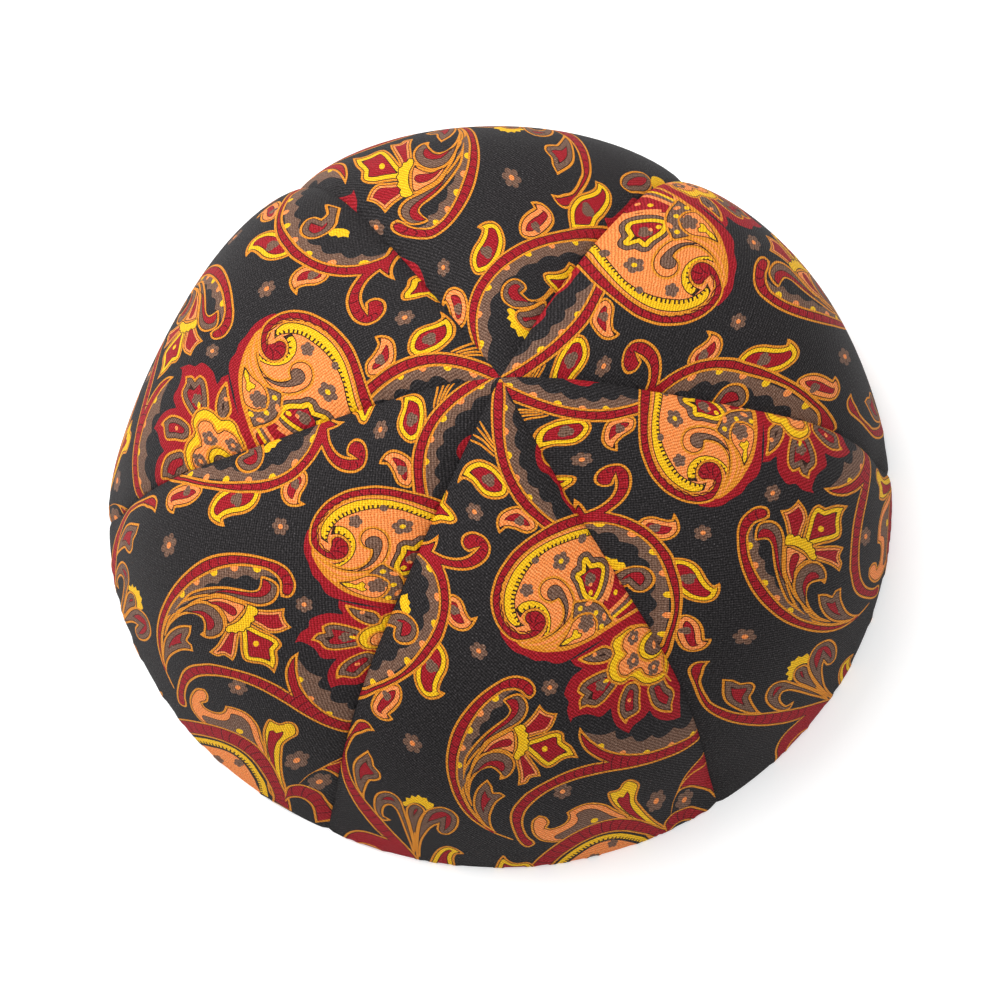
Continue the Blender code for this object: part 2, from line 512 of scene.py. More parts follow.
CROWN_SPRAY: Motif = (
    Stroke(((-5.0, 11.4), (-3.6, 13.4), (-2.0, 16.0)), 0.55),
    Stroke(((-5.7, 13.0), (-3.9, 14.6), (-1.9, 17.0)), 0.55),
    Stroke(((-6.7, 14.9), (-4.3, 15.6), (-1.9, 17.9)), 0.55),
    Stroke(((-7.4, 16.3), (-4.6, 16.8), (-1.8, 18.9)), 0.55),
    Form(Layers.YELLOW_LEAF, ((-10.8, 26.7), (-10.8, 26.7), (-9.9, 24.0), (-8.1, 21.5), (-5.2, 20.0),
         (-2.2, 20.7), (-0.2, 22.6), (1.3, 25.2), (0.5, 27.9), (-2.0, 28.7), (-4.5, 28.3), (-6.1, 27.0),
         (-7.4, 25.6), (-9.2, 25.3))),
    Floret(-3.3, 24.4, 1.6, 3, eye=None),
    Form(Layers.ORANGE_LEAF, ((-1.6, 36.4), (-1.6, 36.4), (-2.2, 34.1), (-1.4, 31.9), (0.7, 30.6),
         (3.0, 30.4), (5.0, 31.8), (6.6, 34.0), (6.8, 36.2), (4.4, 36.9), (1.8, 35.6), (-0.2, 35.2))),
    Floret(3.0, 33.8, 1.2, 3, eye=None),
    Floret(-6.9, 32.0),
    Frill(((0.9, 2.0), (0.6, 8.0), (0.7, 14.0), (1.3, 19.5), (2.8, 24.5), (5.2, 29.0), (8.4, 33.2),
         (12.5, 37.2)), 3.0, 1.1, 5.6),
    Band(((-1.3, 0.5), (-2.1, 5.5), (-2.3, 11.0), (-2.0, 16.0), (-1.2, 21.0), (0.6, 26.2), (3.2, 30.9),
         (6.8, 35.2), (8.8, 37.4)), ((1.0, 0.5), (1.1, 5.5), (0.8, 11.0), (0.9, 16.0), (1.8, 21.0),
         (3.8, 26.0), (6.5, 30.4), (9.6, 34.2), (12.4, 37.0))),
    Form(Layers.YELLOW_LEAF, ((-13.3, 29.5), (-13.3, 29.5), (-14.0, 31.8), (-14.0, 31.8), (-12.2, 32.8),
         (-11.0, 34.6), (-12.4, 35.9), (-15.0, 36.4), (-17.8, 37.6), (-22.0, 37.0), (-22.0, 31.0),
         (-16.5, 27.5))),
    Form(Layers.CRIMSON, ((8.5, 17.5), (7.6, 19.5), (7.8, 22.0), (8.8, 24.0), (10.5, 25.3), (12.0, 27.5),
         (13.0, 29.0), (13.5, 31.5), (15.0, 34.0), (17.0, 36.5), (22.0, 36.0), (20.0, 28.0), (16.0, 22.0),
         (11.0, 17.0))),
    Form(Layers.BROWN_POD, ((9.6, 19.2), (9.2, 21.0), (10.0, 22.8), (11.6, 24.2), (13.4, 25.4),
         (15.0, 27.0), (18.0, 26.0), (13.0, 19.0))),
    Form(Layers.ORANGE_POD, ((14.0, 29.6), (14.4, 31.6), (15.6, 33.6), (17.4, 35.0), (20.0, 34.0),
         (18.0, 30.0), (15.6, 28.8))),
)

LEFT_LEAVES: Motif = (
    Form(Layers.ORANGE_LEAF, ((-7.7, 55.3), (-7.7, 55.3), (-9.2, 55.9), (-10.1, 54.6), (-10.8, 52.4),
         (-12.6, 51.2), (-14.8, 52.0), (-15.6, 55.0), (-14.6, 57.9), (-12.5, 59.1), (-10.3, 58.8),
         (-8.7, 57.3))),
    Floret(-12.8, 54.7, 1.2, 3, eye=None),
    Form(Layers.YELLOW_LEAF, ((-16.3, 73.7), (-16.3, 73.7), (-17.6, 73.3), (-16.9, 71.1), (-15.5, 68.5),
         (-15.0, 66.0), (-15.6, 63.8), (-17.2, 62.4), (-20.4, 64.0), (-22.6, 67.4), (-23.5, 71.2),
         (-23.2, 73.4), (-22.1, 75.3), (-20.2, 76.0), (-17.9, 75.2))),
    Floret(-19.1, 68.3, 1.6, 3, eye=None),
    Form(Layers.ORANGE_LEAF, ((-29.1, 83.6), (-29.1, 83.6), (-29.9, 82.8), (-28.9, 81.6), (-27.1, 79.0),
         (-26.5, 76.4), (-27.4, 74.7), (-30.4, 75.6), (-33.2, 78.9), (-34.8, 82.2), (-34.4, 84.1),
         (-32.7, 85.0), (-30.7, 84.7))),
    Floret(-30.5, 78.5, 1.2, 3, eye=None),
    Floret(-24.8, 88.2, 2.3, tall=1.15),
    Floret(-8.1, 63.1),
)

HOOK_AND_CRESCENT: Motif = (
    Frill(((-24.0, 45.6), (-21.4, 45.4), (-18.8, 46.4), (-17.0, 49.0), (-16.5, 52.6), (-17.0, 57.0),
         (-18.7, 61.0), (-21.6, 65.2), (-25.6, 69.8), (-30.6, 74.4), (-37.0, 79.5), (-43.0, 84.0)), 3.1,
         1.2, 6.2, side=-1),
    Form(Layers.BAND, ((-26.0, 44.5), (-20.0, 42.1), (-17.8, 40.9), (-15.8, 39.1), (-15.8, 39.1),
         (-16.1, 41.0), (-17.0, 43.0), (-17.0, 43.0), (-14.3, 43.3), (-11.5, 43.0), (-9.3, 42.1),
         (-7.2, 40.4), (-7.2, 40.4), (-8.9, 41.2), (-10.3, 40.0), (-10.2, 38.2), (-8.9, 36.9), (-7.0, 36.4),
         (-4.9, 37.2), (-3.7, 39.2), (-4.2, 41.6), (-6.0, 43.6), (-8.4, 45.0), (-11.2, 45.7), (-14.6, 45.9),
         (-14.6, 45.9), (-13.8, 48.2), (-13.5, 50.6), (-13.5, 53.3), (-13.9, 55.6), (-14.7, 58.4),
         (-16.1, 61.9), (-18.0, 64.6), (-20.2, 67.6), (-22.9, 70.5), (-26.7, 73.9), (-30.0, 76.6),
         (-33.4, 79.2), (-37.1, 82.4), (-42.0, 86.0), (-42.5, 82.5), (-37.1, 79.8), (-34.6, 77.8),
         (-31.2, 75.2), (-27.5, 72.2), (-24.2, 68.7), (-20.9, 64.3), (-19.0, 61.4), (-17.2, 57.6),
         (-16.4, 54.0), (-16.5, 50.5), (-17.5, 47.8), (-19.5, 46.0), (-22.0, 45.4), (-26.0, 47.0))),
    Ticks(((-10.6, 38.2), (-7.0, 36.5), (-3.7, 39.2), (-6.0, 43.6), (-11.2, 45.7), (-15.0, 46.0),
         (-13.5, 50.6), (-13.9, 55.6), (-16.1, 61.9), (-20.2, 67.6), (-26.7, 73.9), (-33.4, 79.2),
         (-37.1, 82.0)), ((-8.5, 39.4), (-7.0, 39.4), (-6.8, 40.2), (-9.0, 42.2), (-12.5, 43.2),
         (-18.0, 46.6), (-16.5, 50.5), (-17.2, 57.6), (-19.0, 61.4), (-24.2, 68.7), (-31.2, 75.2),
         (-36.0, 79.0), (-38.5, 80.5))),
    Form(Layers.YELLOW, ((-25.6, 58.6), (-26.4, 57.0), (-26.0, 55.4), (-24.9, 54.8), (-24.2, 54.3),
         (-24.2, 55.4), (-23.5, 56.0), (-24.0, 56.8), (-23.4, 57.4), (-24.2, 58.6))),
    Form(Layers.BROWN_LEAF, ((-33.0, 62.5), (-29.6, 60.3), (-27.0, 58.8), (-24.4, 58.5), (-22.2, 59.6),
         (-21.6, 61.6), (-22.7, 64.0), (-24.9, 65.4), (-27.2, 65.7), (-28.3, 64.6), (-28.0, 62.9),
         (-28.0, 62.9), (-29.8, 63.2), (-33.0, 66.0))),
)

BOTEH: Motif = (
    Form(Layers.CRIMSON, ((-3.0, 58.4), (-2.0, 61.0), (-0.2, 63.1), (2.0, 64.2), (4.2, 65.6), (6.4, 65.9),
         (8.6, 67.0), (11.0, 67.0), (16.0, 65.5), (22.0, 64.6), (30.0, 64.0), (38.0, 65.0), (38.0, 61.0),
         (20.0, 62.0), (8.0, 62.0), (0.0, 59.0))),
    Form(Layers.GOLD, ((34.0, 45.0), (24.0, 39.5), (12.0, 37.5), (3.0, 41.5), (-1.5, 48.0), (-2.5, 54.0),
         (0.5, 61.3), (3.0, 62.9), (6.0, 63.9), (8.5, 64.3), (11.4, 64.6), (14.3, 64.4), (17.7, 63.9),
         (20.6, 63.3), (23.9, 62.9), (26.8, 62.8), (30.0, 63.0), (38.0, 64.0))),
    Form(Layers.ORANGE, ((34.0, 46.5), (24.0, 41.0), (12.0, 38.5), (3.5, 42.0), (-1.0, 48.0), (-1.5, 54.0),
         (1.0, 60.8), (3.2, 62.3), (6.1, 63.3), (8.6, 63.7), (11.4, 64.0), (14.2, 63.8), (17.6, 63.3),
         (20.5, 62.7), (23.8, 62.3), (26.8, 62.2), (30.0, 62.4), (38.0, 63.4))),
    Form(Layers.LINED_CRIMSON, ((20.6, 57.6), (22.6, 55.2), (24.2, 52.2), (27.0, 52.0), (38.0, 56.0),
         (38.0, 63.2), (30.0, 62.2), (26.8, 62.0), (24.0, 62.0), (22.6, 60.0))),
    Stroke(((21.6, 57.0), (23.4, 54.6), (25.0, 51.6)), 0.8, Dye.ORANGE, 0.0),
    Stroke(((22.0, 59.8), (25.0, 58.9), (30.0, 57.6)), 0.9, Dye.ORANGE, 0.0),
    Stroke(((22.4, 60.6), (25.0, 59.9), (30.0, 58.8)), 0.8, Dye.BROWN, 0.0),
    Stroke(((22.8, 61.2), (25.0, 60.7), (30.5, 59.9)), 0.7, Dye.YELLOW, 0.0),
    Dot(24.3, 56.4),
    Dot(26.4, 55.0, dye=Dye.ORANGE),
    Ladder(((30.0, 43.0), (24.0, 41.2), (19.6, 40.3), (16.6, 39.6), (13.5, 39.3), (9.8, 39.5), (7.1, 40.2),
         (4.8, 41.3), (2.5, 43.1), (0.7, 45.2), (-0.5, 47.3), (-1.4, 49.6), (-1.8, 52.3), (-1.6, 54.8),
         (-0.8, 56.5), (0.6, 57.8)), ((29.5, 45.0), (23.8, 43.2), (18.4, 41.9), (15.3, 41.3), (12.5, 41.2),
         (9.8, 41.4), (7.6, 42.2), (5.8, 43.4), (4.0, 45.2), (2.7, 47.1), (1.6, 49.2), (0.9, 51.0),
         (0.7, 53.0), (1.0, 55.0), (1.6, 56.6), (2.6, 57.4))),
    Ladder(((0.6, 53.6), (2.2, 52.2), (4.4, 51.9), (6.5, 52.9), (7.9, 54.8), (8.4, 57.3), (7.8, 59.8),
         (6.6, 61.4)), ((1.6, 55.6), (2.6, 54.4), (4.4, 53.8), (6.0, 54.4), (7.0, 55.8), (7.4, 57.4),
         (7.0, 59.2), (5.6, 60.8))),
    Stroke(((1.4, 62.0), (6.0, 62.5), (10.0, 61.4), (13.0, 58.9), (14.4, 56.0)), 0.5),
    Stroke(((3.0, 62.8), (8.0, 63.0), (12.0, 61.8), (14.6, 59.4)), 0.45),
    Form(Layers.ORANGE_POD, ((1.4, 61.7), (5.3, 61.7), (8.5, 60.9), (11.7, 59.1), (13.6, 56.9),
         (14.3, 54.3), (13.8, 51.9), (12.7, 49.8), (11.1, 48.1), (9.1, 47.4), (7.1, 47.9), (6.0, 49.4),
         (6.1, 51.4), (7.1, 52.8), (8.8, 53.5), (10.2, 53.0), (10.2, 53.0), (10.9, 54.6), (11.0, 56.4),
         (10.2, 58.2), (8.6, 59.5), (6.0, 60.5), (3.0, 61.2))),
    Form(Layers.LINED_BROWN, ((7.9, 51.2), (8.3, 50.0), (9.6, 49.4), (11.0, 50.2), (12.1, 52.3),
         (12.6, 54.8), (12.1, 57.2), (10.9, 59.0), (11.6, 56.4), (11.4, 54.2), (10.4, 52.6), (9.4, 52.9),
         (8.3, 52.4))),
    Band(((32.0, 41.5), (24.0, 38.2), (17.5, 36.3), (14.4, 35.8), (11.6, 35.7), (8.9, 36.2), (6.2, 37.1),
         (3.5, 38.5), (1.0, 40.4), (-1.1, 42.9), (-2.8, 45.5), (-3.9, 48.2), (-4.6, 50.9), (-4.6, 53.6),
         (-4.1, 55.9), (-3.0, 58.2), (-1.2, 60.2), (0.6, 61.0), (3.0, 61.0), (5.3, 60.4), (7.0, 59.0),
         (7.7, 57.3), (7.3, 55.5), (6.1, 54.2), (4.5, 53.8), (3.1, 54.1), (2.3, 55.0), (2.1, 56.1),
         (2.7, 57.0), (3.6, 57.4)), ((31.0, 44.0), (25.5, 41.6), (19.1, 39.8), (16.6, 39.2), (13.5, 38.9),
         (9.8, 39.1), (7.1, 39.8), (4.8, 40.9), (2.5, 42.7), (0.7, 44.8), (-0.8, 47.0), (-1.7, 49.5),
         (-2.1, 52.3), (-1.9, 54.8), (-1.0, 56.8), (0.5, 58.2), (2.1, 58.8), (3.6, 58.5), (4.3, 57.7)),
         2.2),
    Floret(11.7, 44.8, 2.1, 5, eye=Dye.YELLOW),
    Floret(3.5, 49.5, 1.6, 5, eye=None),
    Dot(5.9, 43.2, 0.9, 0.8, Dye.BROWN),
    Dot(17.5, 41.9, 1.2, 1.0, Dye.BROWN),
    Form(Layers.LINED_BROWN, ((18.0, 56.6), (15.6, 54.8), (14.8, 52.6), (14.3, 50.8), (13.5, 49.1),
         (13.9, 47.6), (15.3, 46.9), (15.7, 45.4), (17.4, 44.7), (18.9, 45.4), (19.8, 46.8), (21.4, 47.4),
         (23.1, 48.6), (23.8, 50.2), (23.2, 52.5), (22.0, 54.4), (20.4, 56.0))),
    Form(Layers.YELLOW_PETAL, ((18.0, 56.2), (16.2, 54.6), (15.5, 52.6), (15.2, 50.9), (14.4, 49.2),
         (15.0, 48.3), (16.3, 48.2), (16.5, 46.4), (17.5, 45.7), (18.5, 46.2), (19.2, 47.8), (21.0, 48.2),
         (22.3, 49.3), (22.6, 50.6), (21.9, 52.4), (20.9, 54.2), (19.4, 55.8))),
    Floret(18.2, 51.0, 1.5, 3, eye=None),
    Dot(18.2, 52.2, 0.5, 0.4, Dye.ORANGE),
    Dot(18.0, 53.9, 0.55, 0.6),
    Form(Layers.BROWN_POD, ((13.6, 54.6), (15.6, 54.6), (17.6, 55.1), (19.8, 56.4), (21.5, 58.6),
         (22.4, 60.6), (22.9, 62.4), (14.0, 63.4), (11.0, 62.6), (12.5, 59.0))),
    Dot(15.2, 56.4), Dot(18.8, 58.6), Dot(19.8, 62.0),
    Dot(17.3, 56.0, 0.9, 0.5, Dye.ORANGE), Dot(20.7, 60.2, 0.5, 0.9, Dye.ORANGE),
    Form(Layers.ORANGE_POD, ((9.0, 63.6), (11.2, 61.0), (13.0, 58.4), (15.4, 57.5), (17.8, 58.2),
         (19.0, 60.2), (18.9, 62.0), (18.0, 63.5), (13.5, 64.2))),
    Floret(16.3, 60.0, 2.0, 5, eye=None),
    Form(Layers.LINED_YELLOW, ((9.8, 63.2), (11.4, 62.0), (12.6, 61.8), (13.2, 60.4), (14.2, 60.7),
         (14.4, 61.5), (15.2, 61.8), (14.6, 62.8), (13.0, 62.8), (11.6, 63.4))),
)

PALMETTE: Motif = (
    Form(Layers.CRIMSON, ((12.0, 67.0), (13.0, 68.6), (14.6, 69.5), (12.2, 70.7), (10.8, 72.4),
         (10.0, 74.4), (10.9, 76.2), (10.4, 78.3), (11.0, 81.3), (11.0, 81.3), (11.5, 80.4), (13.5, 80.1),
         (15.6, 80.6), (17.5, 81.9), (18.9, 81.7), (20.4, 80.8), (20.6, 82.7), (21.2, 85.0), (22.5, 87.1),
         (24.4, 89.1), (24.4, 89.1), (25.6, 87.6), (28.5, 86.7), (29.8, 85.8), (30.6, 87.5), (32.3, 89.6),
         (35.2, 91.7), (38.0, 92.8), (38.0, 92.8), (38.2, 90.4), (38.4, 88.3), (40.0, 84.0), (44.0, 82.0),
         (40.0, 66.0), (26.0, 64.0))),
    Form(Layers.BROWN_LEAF, ((13.6, 67.2), (15.2, 68.6), (17.3, 69.6), (20.4, 70.1), (24.0, 69.0),
         (21.4, 67.0), (19.6, 66.1), (16.6, 66.6))),
    Dot(17.6, 67.4, 0.5, 0.5, Dye.ORANGE),
    Form(Layers.BROWN_LEAF, ((13.2, 78.8), (13.2, 78.8), (13.1, 76.7), (13.9, 75.6), (13.9, 75.6),
         (12.9, 74.4), (13.7, 72.8), (15.2, 72.0), (17.7, 71.5), (20.4, 71.6), (24.0, 73.0), (22.4, 76.0),
         (20.6, 77.6), (18.9, 78.8), (16.8, 79.4), (14.8, 78.5))),
    Floret(18.6, 74.6, 1.5, 5, eye=None),
    Dot(19.9, 74.1, 0.9, 0.4),
    Form(Layers.BROWN_LEAF, ((23.9, 86.3), (23.9, 86.3), (22.7, 84.6), (22.0, 82.5), (22.2, 80.3),
         (23.1, 78.2), (24.6, 76.7), (27.0, 77.2), (28.0, 79.2), (27.7, 81.7), (27.6, 84.3), (26.4, 85.1),
         (24.5, 85.3))),
    Dot(25.0, 80.8, 0.5, 0.5, Dye.ORANGE),
    Form(Layers.BROWN_LEAF, ((35.7, 89.8), (35.7, 89.8), (32.7, 87.8), (30.7, 85.4), (29.9, 82.9),
         (29.7, 80.2), (32.0, 79.0), (34.4, 80.2), (35.3, 82.4), (36.6, 84.2), (37.0, 85.9), (36.0, 87.9))),
    Form(Layers.YELLOW_POD, ((22.4, 65.5), (24.3, 65.1), (27.0, 64.8), (32.0, 67.0), (37.0, 72.0),
         (37.0, 77.0), (35.0, 80.4), (31.0, 80.2), (28.4, 78.9), (26.8, 77.2), (25.7, 76.2), (23.8, 76.5),
         (21.9, 75.7), (20.5, 74.3), (20.0, 72.1), (20.8, 70.0), (21.8, 68.8), (21.4, 67.0))),
    Form(Layers.ORANGE_POD, ((25.6, 65.8), (24.2, 67.1), (23.9, 68.8), (24.7, 70.1), (23.0, 70.9),
         (22.4, 72.5), (23.0, 74.4), (24.7, 75.4), (26.8, 75.1), (28.2, 75.3), (28.9, 76.8), (30.6, 78.3),
         (32.7, 79.1), (35.0, 78.8), (35.6, 74.0), (33.0, 68.0), (29.0, 65.6))),
    Floret(26.8, 72.4, 1.8, 5),
    Floret(27.4, 67.6, 1.6, 5),
    Floret(31.9, 76.4, 1.8, 5),
    Form(Layers.YELLOW_POD, ((34.0, 68.6), (31.0, 68.2), (28.9, 69.0), (27.9, 70.8), (28.6, 73.0),
         (31.0, 74.8), (34.3, 75.2), (38.0, 74.0), (37.5, 70.0))),
    Form(Layers.LINED_BROWN, ((34.0, 69.6), (31.8, 69.6), (30.2, 70.4), (30.0, 72.0), (31.6, 73.6),
         (34.0, 74.2), (37.0, 73.2), (36.5, 70.5))),
    Dot(32.8, 71.9, 0.5, 0.9, Dye.ORANGE),
    Stroke(((34.8, 74.8), (34.4, 77.0), (34.8, 79.6), (36.4, 82.4)), 0.5),
)

SCROLL: Motif = (
    Floret(6.9, 72.1, 1.9),
    Stroke(((-9.0, 113.2), (-6.6, 115.2), (-3.0, 117.9)), 0.5),
    Stroke(((-11.6, 89.6), (-13.4, 94.0), (-13.9, 99.0), (-12.6, 105.0), (-9.4, 111.5)), 0.55),
    Stroke(((-11.0, 91.4), (-12.6, 95.0), (-13.2, 99.0), (-12.2, 104.0)), 0.5),
    Stroke(((-10.4, 93.2), (-11.9, 96.0), (-12.6, 100.0), (-12.0, 104.6)), 0.5),
    Frill(((-0.6, 71.6), (-3.2, 72.2), (-5.2, 73.4), (-7.3, 75.3), (-9.2, 77.6), (-10.9, 80.3),
         (-12.3, 83.3), (-13.4, 86.2), (-14.2, 89.2), (-14.6, 92.4), (-14.7, 96.0), (-14.2, 100.0)), 2.6,
         0.9, 5.2),
    Form(Layers.BROWN_POD, ((-3.6, 74.0), (-3.6, 74.0), (-1.5, 72.8), (0.3, 72.7), (1.5, 74.1), (1.9, 76.1),
         (1.2, 78.1), (-0.2, 79.7), (-1.8, 80.7), (-4.8, 82.4), (-7.3, 84.2), (-9.4, 86.7), (-11.4, 89.6),
         (-12.9, 92.8), (-13.6, 96.0), (-13.2, 90.2), (-11.7, 86.9), (-9.5, 83.8), (-7.4, 81.5),
         (-5.3, 79.7), (-3.1, 78.0), (-2.3, 76.5), (-3.0, 75.0))),
    Form(Layers.LINED_CRIMSON, ((-3.1, 74.3), (-1.6, 73.7), (-0.4, 74.2), (-0.1, 75.8), (-0.8, 77.6),
         (-2.6, 79.4), (-5.2, 81.4), (-7.8, 83.8), (-9.6, 86.6), (-8.4, 83.8), (-6.5, 81.4), (-4.4, 79.6),
         (-2.7, 78.0), (-1.9, 76.4), (-2.5, 75.1))),
    Form(Layers.ORANGE_POD, ((-1.4, 80.9), (-1.1, 83.6), (-1.3, 86.4), (-2.2, 88.6), (-3.4, 87.3),
         (-5.7, 86.7), (-8.2, 87.8), (-10.3, 89.9), (-11.8, 92.4), (-11.0, 89.6), (-9.6, 87.2),
         (-7.3, 84.1), (-4.8, 82.4), (-2.4, 81.0))),
    Form(Layers.LINED_CRIMSON, ((-3.0, 83.5), (-2.1, 84.3), (-2.6, 85.4), (-4.4, 85.8), (-6.4, 86.3),
         (-8.6, 87.8), (-7.0, 85.5), (-5.0, 84.0))),
    Form(Layers.BROWN_POD, ((-5.5, 95.2), (-5.5, 95.2), (-4.0, 94.7), (-2.7, 93.4), (-1.8, 91.1),
         (-2.1, 89.0), (-3.6, 87.3), (-5.7, 86.7), (-7.8, 87.2), (-9.8, 88.6), (-11.2, 90.8), (-12.3, 94.0),
         (-12.8, 98.0), (-12.6, 102.0), (-12.0, 97.4), (-11.0, 94.5), (-9.3, 92.4), (-7.4, 91.6),
         (-6.2, 92.3), (-5.3, 93.8))),
    Form(Layers.LINED_CRIMSON, ((-4.0, 91.1), (-4.6, 89.8), (-6.1, 89.4), (-8.2, 90.0), (-9.7, 91.6),
         (-11.0, 93.6), (-9.0, 91.9), (-7.4, 91.0), (-5.9, 91.6), (-5.0, 92.8), (-4.4, 92.6))),
    Form(Layers.PETAL, ((-0.8, 81.0), (0.8, 79.7), (2.6, 78.0), (4.4, 75.6), (4.4, 75.6), (5.3, 77.1),
         (6.6, 78.0), (8.2, 78.4), (8.2, 78.4), (7.7, 79.8), (6.9, 81.4), (5.4, 82.7), (3.2, 83.1),
         (1.2, 83.5), (-0.8, 83.3))),
    Form(Layers.PETAL, ((-1.9, 87.6), (-1.5, 91.0), (-1.2, 94.0), (-1.5, 97.2), (-1.5, 97.2), (0.5, 96.6),
         (1.5, 95.0), (3.7, 94.8), (3.7, 94.8), (3.4, 93.0), (2.5, 90.8), (1.4, 88.6), (0.2, 86.0))),
    Form(Layers.YELLOW_LEAF, ((-1.0, 84.3), (1.4, 83.8), (4.0, 83.2), (6.2, 82.6), (8.2, 82.7), (9.4, 83.8),
         (9.4, 85.6), (10.5, 86.9), (11.4, 88.4), (12.4, 91.4), (12.4, 91.4), (10.5, 90.7), (8.6, 91.0),
         (6.9, 92.2), (5.2, 92.6), (3.6, 91.2), (2.0, 89.0), (0.4, 87.0), (-1.2, 86.4))),
    Dot(4.9, 87.0, 0.65, 0.8),
    Form(Layers.LINED_YELLOW, ((-1.8, 80.8), (-0.2, 79.9), (0.9, 80.2), (1.2, 81.2), (0.9, 81.8),
         (1.7, 82.6), (1.3, 83.6), (1.8, 84.6), (1.3, 85.4), (1.4, 86.6), (0.6, 87.2), (0.4, 88.2),
         (-0.4, 88.5), (-0.9, 89.5), (-1.9, 89.4), (-2.1, 88.0), (-1.3, 86.2), (-1.0, 84.2), (-1.2, 82.4))),
    Band(((2.2, 74.2), (3.5, 73.3), (3.8, 71.7), (2.8, 69.8), (1.0, 68.8), (-0.9, 68.5), (-3.2, 69.1),
         (-5.7, 70.6), (-8.2, 72.5), (-10.7, 75.0), (-13.0, 78.0), (-14.8, 81.1), (-16.1, 84.4),
         (-16.9, 87.8), (-17.3, 90.8), (-17.3, 94.1), (-16.9, 97.4), (-16.2, 101.0), (-14.9, 105.0),
         (-13.2, 108.4), (-11.2, 111.2), (-8.8, 113.7), (-6.4, 115.4)), ((2.2, 74.2), (1.2, 73.4),
         (0.4, 72.4), (-0.9, 71.8), (-3.2, 72.1), (-5.2, 73.4), (-7.3, 75.2), (-9.2, 77.5), (-10.9, 80.2),
         (-12.3, 83.2), (-13.4, 86.1), (-14.2, 89.0), (-14.6, 92.3), (-14.7, 95.7), (-14.2, 99.0),
         (-13.6, 101.6), (-12.4, 105.4), (-10.7, 109.0), (-8.9, 112.0), (-6.6, 115.0))),
    Form(Layers.BROWN_LEAF, ((-8.2, 95.2), (-8.2, 95.2), (-7.2, 97.3), (-6.9, 99.4), (-5.6, 99.3),
         (-4.3, 100.6), (-4.3, 100.6), (-5.6, 101.9), (-6.5, 103.2), (-7.3, 105.4), (-7.9, 108.4),
         (-7.7, 111.8), (-6.8, 114.8), (-6.8, 114.8), (-8.9, 112.6), (-10.5, 109.2), (-11.6, 105.5),
         (-11.6, 101.8), (-10.8, 98.8), (-9.7, 96.9))),
    Dot(-8.8, 105.2, 0.6, 0.6, Dye.BROWN),
)

ARC: Motif = (
    Floret(8.5, 100.9, 2.2, tall=1.2),
    Frill(((13.6, 84.6), (16.0, 88.0), (18.1, 90.6), (20.2, 92.5), (22.7, 94.2), (25.2, 95.6), (28.5, 97.1),
         (32.7, 98.3), (36.8, 99.4), (41.4, 100.8), (48.0, 102.4)), 4.8, 1.5, 6.6),
    Form(Layers.BAND, ((13.0, 83.0), (13.0, 83.0), (14.3, 85.4), (16.0, 87.9), (18.1, 90.4), (20.2, 92.3),
         (22.7, 94.0), (25.2, 95.4), (28.5, 96.9), (32.7, 98.1), (36.8, 99.2), (41.4, 100.6), (48.0, 102.2),
         (48.0, 105.4), (41.8, 103.9), (36.8, 102.9), (33.1, 101.9), (29.3, 101.0), (26.0, 100.1),
         (22.7, 99.2), (19.3, 98.3), (15.6, 97.8), (12.0, 97.8), (8.7, 98.5), (6.0, 99.7), (3.5, 101.6),
         (1.6, 103.8), (0.3, 106.0), (-0.4, 108.6), (-0.6, 111.0), (-0.3, 113.8), (0.5, 116.8),
         (1.8, 119.2), (1.9, 120.7), (0.5, 121.8), (-0.7, 121.1), (-1.8, 118.8), (-2.6, 115.9),
         (-3.3, 112.2), (-3.6, 109.2), (-3.4, 106.7), (-2.6, 104.2), (-1.1, 101.7), (0.2, 99.9),
         (2.7, 97.9), (5.6, 96.2), (8.5, 94.9), (11.4, 94.2), (14.8, 94.0), (18.0, 94.5), (18.0, 94.5),
         (16.4, 92.9), (15.0, 91.2), (13.7, 89.2), (12.9, 87.0), (12.6, 85.0))),
    Ticks(((0.5, 121.8), (-1.8, 118.8), (-3.3, 112.2), (-3.4, 106.7), (-1.1, 101.7), (2.7, 97.9),
         (8.5, 94.9), (14.8, 94.0), (20.2, 92.6), (25.2, 95.4), (32.7, 98.1), (41.4, 100.6), (46.0, 101.8)),
         ((1.9, 120.7), (0.5, 116.8), (-0.6, 111.0), (0.3, 106.0), (3.5, 101.6), (8.7, 98.5), (12.0, 97.8),
         (16.5, 98.0), (19.3, 98.3), (26.0, 100.1), (33.1, 101.9), (41.8, 103.9), (46.5, 105.0))),
)

